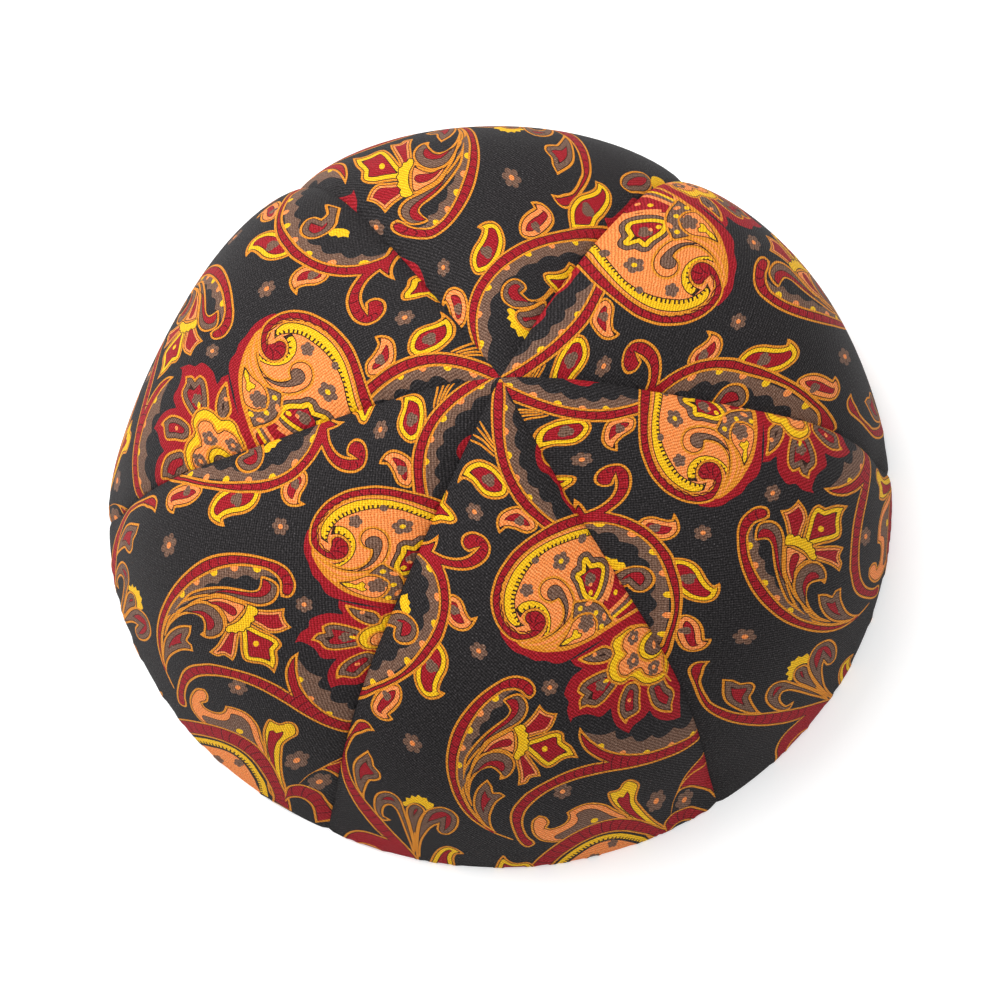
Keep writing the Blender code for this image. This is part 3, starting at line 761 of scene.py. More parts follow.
FLEUR: Motif = (
    Form(Layers.YELLOW, ((-27.5, 109.2), (-28.0, 107.8), (-27.1, 107.2), (-27.2, 105.9), (-26.1, 105.7),
         (-25.8, 104.5), (-24.9, 104.8), (-24.2, 103.7), (-23.4, 104.4), (-22.3, 104.2), (-22.0, 105.4),
         (-20.7, 105.8), (-21.0, 107.2), (-22.2, 108.8), (-23.0, 107.4), (-24.6, 106.7), (-26.1, 107.5))),
    Form(Layers.BROWN_LEAF, ((-31.0, 116.4), (-31.0, 116.4), (-32.7, 115.8), (-32.8, 113.4), (-32.1, 111.4),
         (-30.8, 110.5), (-29.7, 111.8), (-28.7, 115.5), (-27.9, 119.7), (-26.9, 124.7), (-26.0, 130.0),
         (-25.8, 124.0), (-26.6, 117.0), (-27.6, 111.0), (-28.2, 108.0), (-29.2, 106.3), (-30.7, 105.6),
         (-32.6, 106.2), (-34.3, 108.0), (-35.1, 110.5), (-35.2, 113.8), (-34.5, 116.4), (-32.9, 117.8))),
    Form(Layers.BROWN_LEAF, ((-24.9, 107.0), (-23.3, 107.8), (-22.7, 109.5), (-23.7, 112.3), (-24.5, 116.0),
         (-25.1, 121.5), (-25.7, 128.0), (-26.2, 121.5), (-26.9, 115.5), (-27.4, 111.8), (-27.2, 109.6),
         (-26.3, 107.8))),
    Form(Layers.BROWN_LEAF, ((-20.2, 113.8), (-20.2, 113.8), (-20.4, 115.6), (-19.5, 117.3), (-17.8, 117.3),
         (-16.1, 115.0), (-15.2, 112.2), (-15.2, 109.2), (-16.6, 107.1), (-18.7, 106.3), (-20.8, 107.1),
         (-22.6, 108.8), (-24.0, 112.4), (-24.8, 117.0), (-25.3, 123.0), (-25.5, 130.0), (-24.6, 130.0),
         (-24.4, 126.0), (-23.9, 122.0), (-22.8, 118.4), (-21.6, 115.6))),
    Stroke(((-25.6, 119.0), (-25.4, 126.0), (-25.0, 133.0)), 0.5),
    Form(Layers.YELLOW_LEAF, ((-14.3, 125.4), (-14.3, 125.4), (-15.4, 123.7), (-16.7, 122.7),
         (-18.3, 122.5), (-20.1, 124.2), (-21.4, 127.2), (-22.6, 132.2), (-23.0, 135.0), (-16.4, 135.0),
         (-16.4, 132.0), (-16.6, 128.0), (-15.9, 125.8))),
    Form(Layers.BAND, ((-33.9, 88.7), (-33.9, 88.7), (-35.6, 87.3), (-37.5, 87.6), (-39.2, 89.2),
         (-41.4, 93.6), (-43.4, 98.0), (-44.4, 102.0), (-44.0, 106.5), (-42.6, 110.8), (-40.0, 115.9),
         (-37.5, 119.7), (-35.4, 122.6), (-33.2, 125.0), (-33.2, 125.0), (-36.7, 125.0), (-39.4, 126.0),
         (-41.8, 128.4), (-43.2, 131.4), (-44.0, 136.0), (-24.6, 136.0), (-25.0, 131.4), (-27.1, 126.9),
         (-28.7, 124.3), (-31.2, 120.6), (-33.7, 116.9), (-36.2, 113.5), (-38.7, 110.2), (-40.6, 106.8),
         (-41.6, 103.4), (-42.0, 100.2), (-41.4, 98.0), (-40.5, 95.4), (-39.1, 92.8), (-37.4, 91.2),
         (-35.7, 89.6))),
    Ticks(((-37.5, 87.6), (-41.4, 93.6), (-44.4, 102.0), (-42.6, 110.8), (-40.0, 115.9), (-35.4, 122.6),
         (-33.0, 127.5)), ((-36.0, 89.8), (-40.5, 95.4), (-42.0, 101.0), (-40.6, 106.8), (-36.2, 113.5),
         (-31.2, 120.6), (-27.1, 126.9))),
    Stroke(((-41.0, 133.0), (-38.5, 131.0), (-35.5, 130.8), (-33.0, 132.6)), 0.55),
    Form(Layers.BROWN_LEAF, ((-36.0, 95.0), (-36.0, 95.0), (-34.7, 97.2), (-34.5, 99.0), (-33.1, 100.4),
         (-33.1, 102.4), (-34.8, 104.0), (-35.8, 104.6), (-36.7, 107.0), (-37.4, 110.2), (-37.4, 112.4),
         (-37.4, 112.4), (-39.4, 109.0), (-40.2, 105.0), (-40.2, 102.0), (-39.3, 99.6), (-38.2, 97.9))),
)

LOWER_RIGHT: Motif = (
    Form(Layers.ORANGE_POD, ((3.0, 108.4), (4.6, 109.4), (5.4, 111.8), (4.7, 113.8), (5.6, 114.4),
         (7.5, 113.9), (9.1, 112.5), (9.6, 110.8), (9.2, 108.8), (9.2, 108.8), (11.2, 107.5), (13.7, 106.9),
         (16.3, 107.7), (18.8, 109.8), (21.3, 113.4), (23.9, 117.2), (24.0, 120.0), (12.0, 119.0),
         (7.4, 120.8), (5.2, 120.4), (3.0, 118.9), (1.5, 115.9), (1.1, 112.6), (1.5, 110.0))),
    Form(Layers.LINED_BROWN, ((11.4, 110.3), (13.4, 109.1), (15.7, 109.7), (17.5, 111.5), (19.4, 114.2),
         (21.4, 117.4), (14.0, 117.5), (10.0, 119.6), (7.0, 119.4), (6.4, 118.0), (8.0, 116.7),
         (10.2, 115.2), (11.6, 113.6), (11.8, 111.8))),
    Dot(15.7, 114.6, 0.9, 1.0),
    Form(Layers.YELLOW_POD, ((19.0, 105.1), (21.4, 105.2), (22.4, 103.6), (23.8, 103.1), (25.4, 104.1),
         (26.7, 106.5), (26.1, 109.2), (25.9, 111.8), (27.0, 115.0), (28.8, 119.7), (31.0, 124.7),
         (33.6, 129.8), (35.5, 136.0), (30.0, 133.0), (26.0, 122.5), (23.8, 117.8), (22.0, 114.4),
         (20.2, 111.0), (19.1, 107.6))),
    Form(Layers.LINED_CRIMSON, ((21.0, 109.0), (21.6, 108.2), (22.6, 108.8), (23.5, 107.2), (24.2, 109.0),
         (24.3, 112.0), (25.2, 115.5), (26.9, 119.5), (29.0, 124.0), (31.6, 130.0), (26.6, 121.0),
         (24.0, 116.6), (22.2, 112.8))),
    Floret(30.75, 115.8, 2.5, tall=1.7),
    Band(((-2.0, 137.0), (0.6, 131.4), (2.4, 127.6), (4.9, 123.8), (7.8, 120.5), (10.7, 118.0),
         (14.1, 116.3), (17.4, 115.7), (20.8, 116.3), (23.7, 118.0), (26.6, 120.5), (29.2, 123.8),
         (31.7, 127.6), (34.6, 131.8), (37.0, 137.0)), ((4.0, 137.0), (6.2, 131.4), (8.2, 128.0),
         (10.7, 125.1), (13.7, 122.8), (17.0, 121.7), (20.3, 122.1), (23.3, 123.8), (26.2, 126.7),
         (28.8, 129.8), (31.0, 133.6), (32.0, 137.0)), 2.5),
    Ladder(((4.6, 137.0), (6.6, 131.8), (8.6, 128.5), (11.0, 125.6), (13.8, 123.4), (17.0, 122.3),
         (20.2, 122.7), (23.0, 124.3), (25.8, 127.1), (28.3, 130.2), (31.0, 136.0)), ((7.0, 137.0),
         (9.0, 132.0), (10.6, 129.7), (12.6, 127.6), (14.8, 125.8), (17.2, 124.9), (19.8, 125.2),
         (22.2, 126.6), (24.6, 129.0), (26.6, 131.6), (28.4, 136.0))),
    Form(Layers.ORANGE, ((7.4, 137.0), (9.4, 132.4), (11.0, 130.1), (12.9, 128.1), (15.0, 126.3),
         (17.3, 125.4), (19.7, 125.7), (21.9, 127.0), (24.2, 129.4), (26.1, 131.9), (28.0, 137.0))),
    Floret(20.1, 127.4, 1.3, 5, tall=1.5, eye=None),
    Floret(15.6, 131.6, 1.6, 5, eye=None),
    Form(Layers.YELLOW_LEAF, ((-5.3, 125.2), (-5.3, 125.2), (-4.2, 127.6), (-2.5, 129.2), (0.6, 129.3),
         (1.6, 134.0), (-8.0, 135.0), (-7.3, 131.3), (-6.6, 128.0))),
    Form(Layers.BAND, ((48.0, 110.5), (44.9, 110.4), (41.2, 110.6), (38.2, 112.5), (36.5, 115.9),
         (35.0, 120.5), (34.6, 125.0), (35.4, 119.5), (37.0, 116.8), (39.5, 117.7), (42.0, 120.6),
         (45.0, 124.8), (48.0, 130.0))),
    Stroke(((36.8, 115.4), (38.7, 113.7), (41.2, 113.3), (46.0, 115.2)), 0.55),
    Floret(38.2, 121.6, 2.5, tall=1.5),
    Band(((32.6, 129.0), (33.0, 126.6), (34.9, 124.6), (37.1, 124.6), (39.9, 125.7), (42.4, 128.8),
         (45.0, 132.4), (47.0, 136.0)), ((34.4, 134.0), (34.9, 131.4), (36.2, 130.2), (37.6, 130.2),
         (39.2, 131.2), (40.6, 133.0), (42.0, 136.0), (43.0, 138.0)), 2.5),
)

BACK_CRESCENT: Motif = (
    Frill(((3.3, 2.0), (4.2, 9.0), (4.5, 14.0), (4.0, 18.0), (2.7, 22.0), (0.7, 25.5), (-1.6, 28.7),
         (-4.6, 32.0), (-7.7, 35.1), (-12.0, 38.8), (-16.9, 42.4), (-21.3, 45.6), (-25.6, 48.8),
         (-29.0, 51.6)), 3.0, 0.8, 7.4, side=-1),
    Form(Layers.YELLOW_LEAF, ((-18.0, 46.4), (-17.4, 51.0), (-17.9, 54.6), (-19.8, 58.4), (-22.6, 61.2),
         (-24.2, 63.6), (-24.2, 65.8), (-24.2, 65.8), (-26.6, 65.9), (-28.4, 64.2), (-28.6, 61.0),
         (-27.2, 57.0), (-25.4, 53.6), (-24.0, 50.0))),
    Floret(-22.4, 55.2, 1.7, 3, 1.3, eye=None),
    Band(((2.9, 0.0), (3.5, 5.0), (4.2, 9.0), (4.5, 14.0), (4.0, 18.0), (2.7, 22.0), (0.7, 25.5),
         (-1.6, 28.7), (-4.6, 32.0), (-7.7, 35.1), (-12.0, 38.8), (-16.9, 42.4), (-21.3, 45.6),
         (-25.6, 48.8), (-31.0, 53.0)), ((4.6, 0.0), (4.9, 5.0), (5.9, 9.5), (6.9, 14.4), (6.9, 18.0),
         (6.2, 21.4), (4.9, 24.6), (3.2, 27.4), (1.1, 30.4), (-1.4, 33.5), (-4.5, 36.6), (-7.7, 39.4),
         (-12.0, 42.6), (-16.3, 45.8), (-20.2, 48.9), (-24.6, 52.1), (-31.0, 57.0)), 2.6),
    Form(Layers.YELLOW, ((-8.4, 13.6), (-7.0, 11.5), (-5.7, 11.9), (-4.6, 11.2), (-4.0, 12.6), (-2.8, 12.9),
         (-3.1, 14.2), (-2.1, 15.0), (-2.8, 16.0), (-2.2, 17.1), (-3.0, 17.9), (-4.2, 17.2), (-4.6, 14.8),
         (-6.0, 14.0))),
    Form(Layers.BROWN_LEAF, ((-9.0, 15.4), (-7.4, 14.0), (-5.6, 13.7), (-4.2, 14.9), (-3.9, 16.4),
         (-4.7, 17.8), (-6.6, 18.8), (-8.6, 20.6), (-12.0, 24.0), (-12.0, 18.0))),
    Form(Layers.BROWN_POD, ((-14.4, 28.4), (-11.4, 23.6), (-8.8, 20.4), (-6.2, 18.6), (-3.6, 18.0),
         (-1.6, 19.3), (-1.0, 21.6), (-1.6, 24.2), (-3.4, 26.3), (-5.2, 26.7), (-6.9, 25.6), (-7.0, 24.2),
         (-6.0, 22.8), (-6.0, 22.8), (-7.4, 21.9), (-9.2, 22.6), (-11.2, 24.8), (-13.4, 28.6))),
    Form(Layers.LINED_CRIMSON, ((-5.9, 20.5), (-3.7, 20.2), (-2.6, 22.0), (-3.1, 24.0), (-4.6, 25.2),
         (-5.7, 24.6), (-5.0, 23.3), (-5.7, 22.0), (-7.8, 21.3), (-10.0, 23.0), (-8.2, 21.2))),
    Form(Layers.YELLOW_LEAF, ((-16.0, 28.0), (-13.2, 28.1), (-11.4, 29.1), (-11.2, 30.7), (-12.6, 31.9),
         (-14.6, 33.2), (-16.6, 35.3), (-17.8, 37.8), (-17.8, 37.8), (-20.5, 38.0), (-20.5, 30.0))),
    Form(Layers.CRIMSON, ((-27.0, 55.6), (-29.0, 57.6), (-31.2, 61.4), (-33.0, 64.8), (-35.0, 68.4),
         (-40.0, 70.0), (-32.0, 54.0))),
    Form(Layers.BROWN_LEAF, ((-31.0, 68.8), (-30.8, 71.2), (-32.0, 74.2), (-34.6, 78.0), (-37.4, 80.2),
         (-39.6, 79.4), (-39.8, 76.8), (-38.4, 73.4), (-36.0, 70.8), (-33.4, 68.6))),
    Form(Layers.YELLOW, ((-40.4, 78.0), (-39.4, 80.4), (-40.4, 83.0), (-44.0, 86.0), (-46.0, 82.0))),
)

MIDDLE_PRINT: Motif = BOTEH + PALMETTE + LEFT_LEAVES
RIM_PRINT: Motif = SCROLL + ARC + FLEUR + LOWER_RIGHT
PRINT: Motif = CROWN_SPRAY + MIDDLE_PRINT + HOOK_AND_CRESCENT + RIM_PRINT


@dataclass(frozen=True)
class SeamRow:
    """One panel and the seam on its clockwise side; the rim radii are shares of the cap's."""

    name: str
    seam_angle_deg: float
    seam_bow: float
    seam_bow_at: float
    rim_at_seam: float
    rim_at_middle: float


SEAM_ROWS = (
    SeamRow("panel_back_right", 3.7, -0.047, 0.75, 1.001, 1.001),
    SeamRow("panel_back", 57.8, 0.027, 0.50, 0.991, 0.982),
    SeamRow("panel_back_left", 125.1, -0.018, 0.60, 1.001, 0.965),
    SeamRow("panel_front_left", 183.7, 0.075, 0.75, 1.002, 1.001),
    SeamRow("panel_front", 244.2, -0.002, 0.50, 0.984, 0.982),
    SeamRow("panel_front_right", 303.4, -0.018, 0.35, 0.980, 0.991),
)


def catmull_rom(values: np.ndarray, place: np.ndarray, round_and_round: bool) -> np.ndarray:
    """Smooth value at each place along a row of values.

    Args:
        values: The values, one step apart.
        place: Places along the row.
        round_and_round: Whether the row closes on itself.

    Returns:
        One value for each place.
    """
    low = np.floor(place).astype(int)
    if not round_and_round:
        low = np.minimum(low, len(values) - 2)
    share = place - low
    steps = [low + step for step in (-1, 0, 1, 2)]
    if round_and_round:
        before, start, end, after = (values[step % len(values)] for step in steps)
    else:
        before, start, end, after = (values[np.clip(step, 0, len(values) - 1)] for step in steps)
    slope_start = (end - before) / 2.0
    slope_end = (after - start) / 2.0
    rise = end - start
    square = 3.0 * rise - 2.0 * slope_start - slope_end
    cube = slope_start + slope_end - 2.0 * rise
    return start + share * (slope_start + share * (square + share * cube))


@dataclass
class Dome:
    """The shape that the six panels are bent to, in millimetres until a point is placed."""

    rim_radius: float = 93.5
    depth: float = 76.5
    crown_towards_front: float = 2.1
    slopes_deg: tuple[float, ...] = (0.0, 18.0, 23.0, 30.0, 55.0, 71.0, 78.0)
    profile_steps: int = 240
    bow_sharpness: float = 3.0
    seam_valley_depth: float = 1.8
    seam_valley_width: float = 6.0
    valley_fade_at_crown: float = 30.0
    valley_fade_at_rim: float = 12.0
    panel_fullness: float = 1.6
    seam_crease_depth: float = 0.55
    seam_crease_width: float = 0.9
    seam_crease_fade: float = 8.0
    rim_roll: float = 0.7
    rim_roll_share: float = 0.6
    cloth: float = 1.2
    hem_width: float = 10.0
    hem_layer: float = 1.0
    hem_edge_slope: float = 1.5
    out_shares: np.ndarray = field(init=False)
    up_shares: np.ndarray = field(init=False)
    length: float = field(init=False)
    centre: np.ndarray = field(init=False)

    def __post_init__(self) -> None:
        """Walk the profile from the crown to the rim once."""
        steps = (np.arange(self.profile_steps) + 0.5) / self.profile_steps
        slopes = np.array(self.slopes_deg)
        angle = np.radians(catmull_rom(slopes, steps * (len(slopes) - 1), False))
        out = np.concatenate([[0.0], np.cumsum(np.cos(angle))])
        fall = np.concatenate([[0.0], np.cumsum(np.sin(angle))])
        self.out_shares = out / out[-1]
        self.up_shares = 1.0 - fall / fall[-1]
        runs = np.hypot(np.diff(self.out_shares) * self.rim_radius, np.diff(self.up_shares) * self.depth)
        self.length = float(runs.sum())
        rim = self.rim_point(np.arange(0.0, 6.0, 1.0 / 48.0))
        self.centre = (rim.min(axis=0) + rim.max(axis=0)) / 2.0

    def rim_point(self, station: np.ndarray) -> np.ndarray:
        """Rim points; a station counts panels round the cap, from the seam on the right."""
        angles = np.radians([row.seam_angle_deg + 360.0 * turn for turn in (0, 1, 2) for row in SEAM_ROWS])
        panel = np.floor(station).astype(int)
        across = station - panel
        angle = angles[panel] * (1.0 - across) + angles[panel + 1] * across
        shares = np.array([share for row in SEAM_ROWS for share in (row.rim_at_seam, row.rim_at_middle)])
        radius = self.rim_radius * catmull_rom(shares, station * 2.0, True)
        return np.stack([radius * np.cos(angle), radius * np.sin(angle)], axis=-1)

    def bow(self, seam: int, out: np.ndarray) -> np.ndarray:
        """Sideways drift of a seam at shares of the way out."""
        row = SEAM_ROWS[seam % 6]
        part = np.clip(out, 1e-9, 1.0 - 1e-9)
        before = (part / row.seam_bow_at) ** (self.bow_sharpness * row.seam_bow_at)
        after = ((1.0 - part) / (1.0 - row.seam_bow_at)) ** (self.bow_sharpness * (1.0 - row.seam_bow_at))
        return self.rim_radius * row.seam_bow * before * after

    def place(self, panel: int, across: np.ndarray, down: np.ndarray, inner: np.ndarray, fine: bool) -> np.ndarray:
        """Points of a panel on the dome.

        Args:
            panel: Number of the panel.
            across: Shares of the way across the panel.
            down: Shares of the way down its length.
            inner: 0 on the outer face and 1 on the inner face.
            fine: Whether seam creases and the rolled rim are added to the dome.

        Returns:
            One point for each share, in millimetres.
        """
        place = down * self.profile_steps
        grid = np.arange(self.profile_steps + 1)
        out = np.interp(place, grid, self.out_shares)
        up = np.interp(place, grid, self.up_shares)
        low = np.clip(np.floor(place), 0, self.profile_steps - 1).astype(int)
        out_rate = (self.out_shares[low + 1] - self.out_shares[low]) * self.profile_steps
        up_rate = (self.up_shares[low + 1] - self.up_shares[low]) * self.profile_steps

        crown = self.centre - np.array([0.0, self.crown_towards_front])
        ray = self.rim_point(panel + across) - crown
        run = np.linalg.norm(ray, axis=-1)
        outward = ray / run[:, None]
        sideways = np.stack([-outward[:, 1], outward[:, 0]], axis=-1)
        drift = self.bow(panel, out) * (1.0 - across) + self.bow(panel + 1, out) * across
        flat = crown + ray * out[:, None] + sideways * drift[:, None] - self.centre
        point = np.concatenate([flat, (self.depth * up)[:, None]], axis=1)
        normal = np.concatenate([outward * (-up_rate * self.depth)[:, None], (out_rate * run)[:, None]], axis=1)
        normal /= np.linalg.norm(normal, axis=1, keepdims=True)
        from_crown = out * run
        from_rim = self.length * (1.0 - down)
        from_seam = from_crown * math.pi / 6.0 * (1.0 - np.abs(2.0 * across - 1.0))
        fade = np.minimum(from_crown / self.valley_fade_at_crown, from_rim / self.valley_fade_at_rim)
        fade = np.minimum(1.0, fade)
        lift = self.panel_fullness * np.sin(math.pi * across) * np.sin(math.pi * down)
        lift -= self.seam_valley_depth * fade * np.exp(-from_seam / self.seam_valley_width)
        if fine:
            crease = np.minimum(1.0, from_crown / self.seam_crease_fade)
            lift -= self.seam_crease_depth * crease * np.exp(-from_seam / self.seam_crease_width)
            roll = np.clip(1.0 - from_rim / self.rim_roll, 0.0, 1.0)
            rounding = 1.0 - np.sqrt(1.0 - roll * roll)
            lift -= self.rim_roll * self.rim_roll_share * rounding * (1.0 - inner)
        hem = np.clip((self.hem_width - from_rim) / self.hem_edge_slope, 0.0, 1.0)
        wall = self.cloth + self.hem_layer * hem
        point += normal * (lift - inner * wall)[:, None]
        point[:, 2] = np.maximum(point[:, 2], 0.0)
        return point


class Mark(Enum):
    """Places on the charted print that other panels show too, in millimetres."""

    LEAF_DOT = (-3.5, 24.0)
    SMALL_FLORET = (-7.0, 32.0)
    HOOK_CURL = (-4.0, 39.5)
    BOTEH_EDGE = (-4.5, 52.0)
    SPIRAL_EYE = (3.0, 55.5)
    COMMA_LEAF = (-12.5, 55.0)
    LEFT_FLORET = (-8.0, 63.0)
    SCROLL_TOP = (-0.5, 69.0)
    RIGHT_FLORET = (7.0, 72.0)
    LEAF_TIP = (-19.5, 75.5)
    LOW_LEFT_FLORET = (-25.0, 88.0)
    PETAL_DOT = (5.0, 87.0)
    LOW_FLORET = (8.5, 101.0)
    FLEUR_CAP = (-24.0, 104.5)
    LOW_RIGHT_FLORET = (30.5, 116.0)
    PALMETTE = (27.0, 72.0)
    COMMA_TIP = (-29.5, 83.5)
    HOOK_END = (-34.0, 88.5)
    POINTED_LEAF = (-36.0, 95.5)
    SPRAY_HEART = (1.0, 80.5)
    ARC_TIP = (13.0, 83.5)
    SCROLL_END = (3.5, 71.5)
    UPPER_PETAL = (8.0, 78.5)
    BIG_PETAL = (12.5, 91.5)


@dataclass(frozen=True)
class Placement:
    """Where the print lies on one flat panel: marks of the print and where they lie there."""

    places: dict[Mark, tuple[float, float]]
    chart: Motif = PRINT
    own: Motif = ()
    stiffness: float = 30.0

    def shapes(self) -> list[tuple[Dye, Outline]]:
        """Every printed outline on the panel with its dye, the lowest first."""
        found = [(dye, self.lay(outline)) for form in self.chart for dye, outline in form.shapes()]
        return found + [shape for form in self.own for shape in form.shapes()]

    def lay(self, outline: Outline) -> Outline:
        """Lay an outline of the chart on the panel.

        Args:
            outline: Outline in the chart.

        Returns:
            The outline on the panel, bent as little as the marks allow.
        """
        if not self.places:
            return outline
        marks = np.array([mark.value for mark in self.places])
        goals = np.array(list(self.places.values()))
        count = len(marks)
        plain = np.concatenate([np.ones((count, 1)), marks], axis=1)
        table = np.zeros((count + 3, count + 3))
        table[:count, :count] = self.pull(marks, marks) + self.stiffness * np.eye(count)
        table[:count, count:] = plain
        table[count:, :count] = plain.T
        weights = np.linalg.solve(table, np.concatenate([goals, np.zeros((3, 2))]))
        flat = np.concatenate([np.ones((len(outline), 1)), outline], axis=1)
        return self.pull(outline, marks) @ weights[:count] + flat @ weights[count:]

    @staticmethod
    def pull(points: np.ndarray, marks: np.ndarray) -> np.ndarray:
        """Reach of each mark at each point, as in a thin bent plate."""
        square = ((points[:, None, :] - marks[None, :, :]) ** 2).sum(axis=2)
        return square * np.log(np.maximum(square, 1e-12)) / 2.0


PLACEMENTS = {
    "panel_front": Placement({}),
    "panel_front_right": Placement({
        Mark.LEAF_DOT: (-4.0, 19.0), Mark.SMALL_FLORET: (-7.5, 26.5), Mark.HOOK_CURL: (-3.5, 34.0),
        Mark.BOTEH_EDGE: (-3.0, 46.5), Mark.SPIRAL_EYE: (4.5, 50.5), Mark.COMMA_LEAF: (-11.0, 49.5),
        Mark.LEFT_FLORET: (-6.0, 58.0), Mark.SCROLL_TOP: (1.5, 64.0), Mark.RIGHT_FLORET: (11.5, 68.0),
        Mark.LEAF_TIP: (-16.5, 70.5), Mark.LOW_LEFT_FLORET: (-20.0, 83.0), Mark.PETAL_DOT: (12.0, 84.0),
        Mark.LOW_FLORET: (21.5, 105.5), Mark.FLEUR_CAP: (-15.5, 101.0),
    }),
    "panel_front_left": Placement({
        Mark.LEAF_DOT: (-4.0, 21.5), Mark.SMALL_FLORET: (-7.0, 29.0), Mark.HOOK_CURL: (-2.5, 36.5),
        Mark.BOTEH_EDGE: (-2.0, 48.5), Mark.SPIRAL_EYE: (5.5, 52.0), Mark.COMMA_LEAF: (-10.0, 52.0),
        Mark.LEFT_FLORET: (-5.0, 59.5), Mark.SCROLL_TOP: (3.5, 64.5), Mark.RIGHT_FLORET: (12.0, 68.0),
        Mark.LEAF_TIP: (-18.5, 73.5), Mark.LOW_LEFT_FLORET: (-22.5, 88.5), Mark.PETAL_DOT: (10.5, 83.0),
        Mark.LOW_FLORET: (13.5, 97.5), Mark.FLEUR_CAP: (-22.5, 111.5), Mark.LOW_RIGHT_FLORET: (34.0, 109.0),
    }),
    "panel_back_right": Placement({
        Mark.LEAF_DOT: (-4.5, 16.0), Mark.SMALL_FLORET: (-9.0, 24.0), Mark.HOOK_CURL: (-6.5, 32.0),
        Mark.BOTEH_EDGE: (-6.5, 48.0), Mark.SPIRAL_EYE: (2.0, 55.5), Mark.COMMA_LEAF: (-14.5, 49.0),
        Mark.LEFT_FLORET: (-9.5, 60.0), Mark.SCROLL_TOP: (-2.0, 69.5), Mark.RIGHT_FLORET: (10.5, 80.0),
        Mark.LEAF_TIP: (-19.5, 74.0), Mark.LOW_LEFT_FLORET: (-21.5, 95.0),
    }),
    "panel_back_left": Placement({
        Mark.LEAF_DOT: (-2.5, 19.0), Mark.SMALL_FLORET: (-6.0, 28.0), Mark.HOOK_CURL: (-1.5, 36.0),
        Mark.BOTEH_EDGE: (-1.5, 53.0), Mark.SPIRAL_EYE: (7.0, 54.5), Mark.COMMA_LEAF: (-11.0, 56.5),
        Mark.LEFT_FLORET: (-6.0, 66.0), Mark.SCROLL_TOP: (5.0, 71.0), Mark.RIGHT_FLORET: (11.5, 73.5),
        Mark.PALMETTE: (33.0, 70.0),
    }),
    "panel_back": Placement({
        Mark.LEFT_FLORET: (12.5, 33.5), Mark.LEAF_TIP: (1.0, 44.0), Mark.COMMA_TIP: (-9.0, 51.5),
        Mark.LOW_LEFT_FLORET: (-4.5, 59.5), Mark.SCROLL_TOP: (15.5, 44.5), Mark.SPRAY_HEART: (22.0, 60.0),
        Mark.HOOK_END: (-13.5, 55.5), Mark.POINTED_LEAF: (-15.0, 64.0), Mark.ARC_TIP: (36.5, 76.0),
        Mark.SCROLL_END: (25.5, 51.5), Mark.RIGHT_FLORET: (29.0, 57.0), Mark.PETAL_DOT: (26.5, 74.0),
        Mark.UPPER_PETAL: (30.5, 65.0), Mark.BIG_PETAL: (34.0, 88.5),
    }, chart=MIDDLE_PRINT + RIM_PRINT, own=BACK_CRESCENT),
}


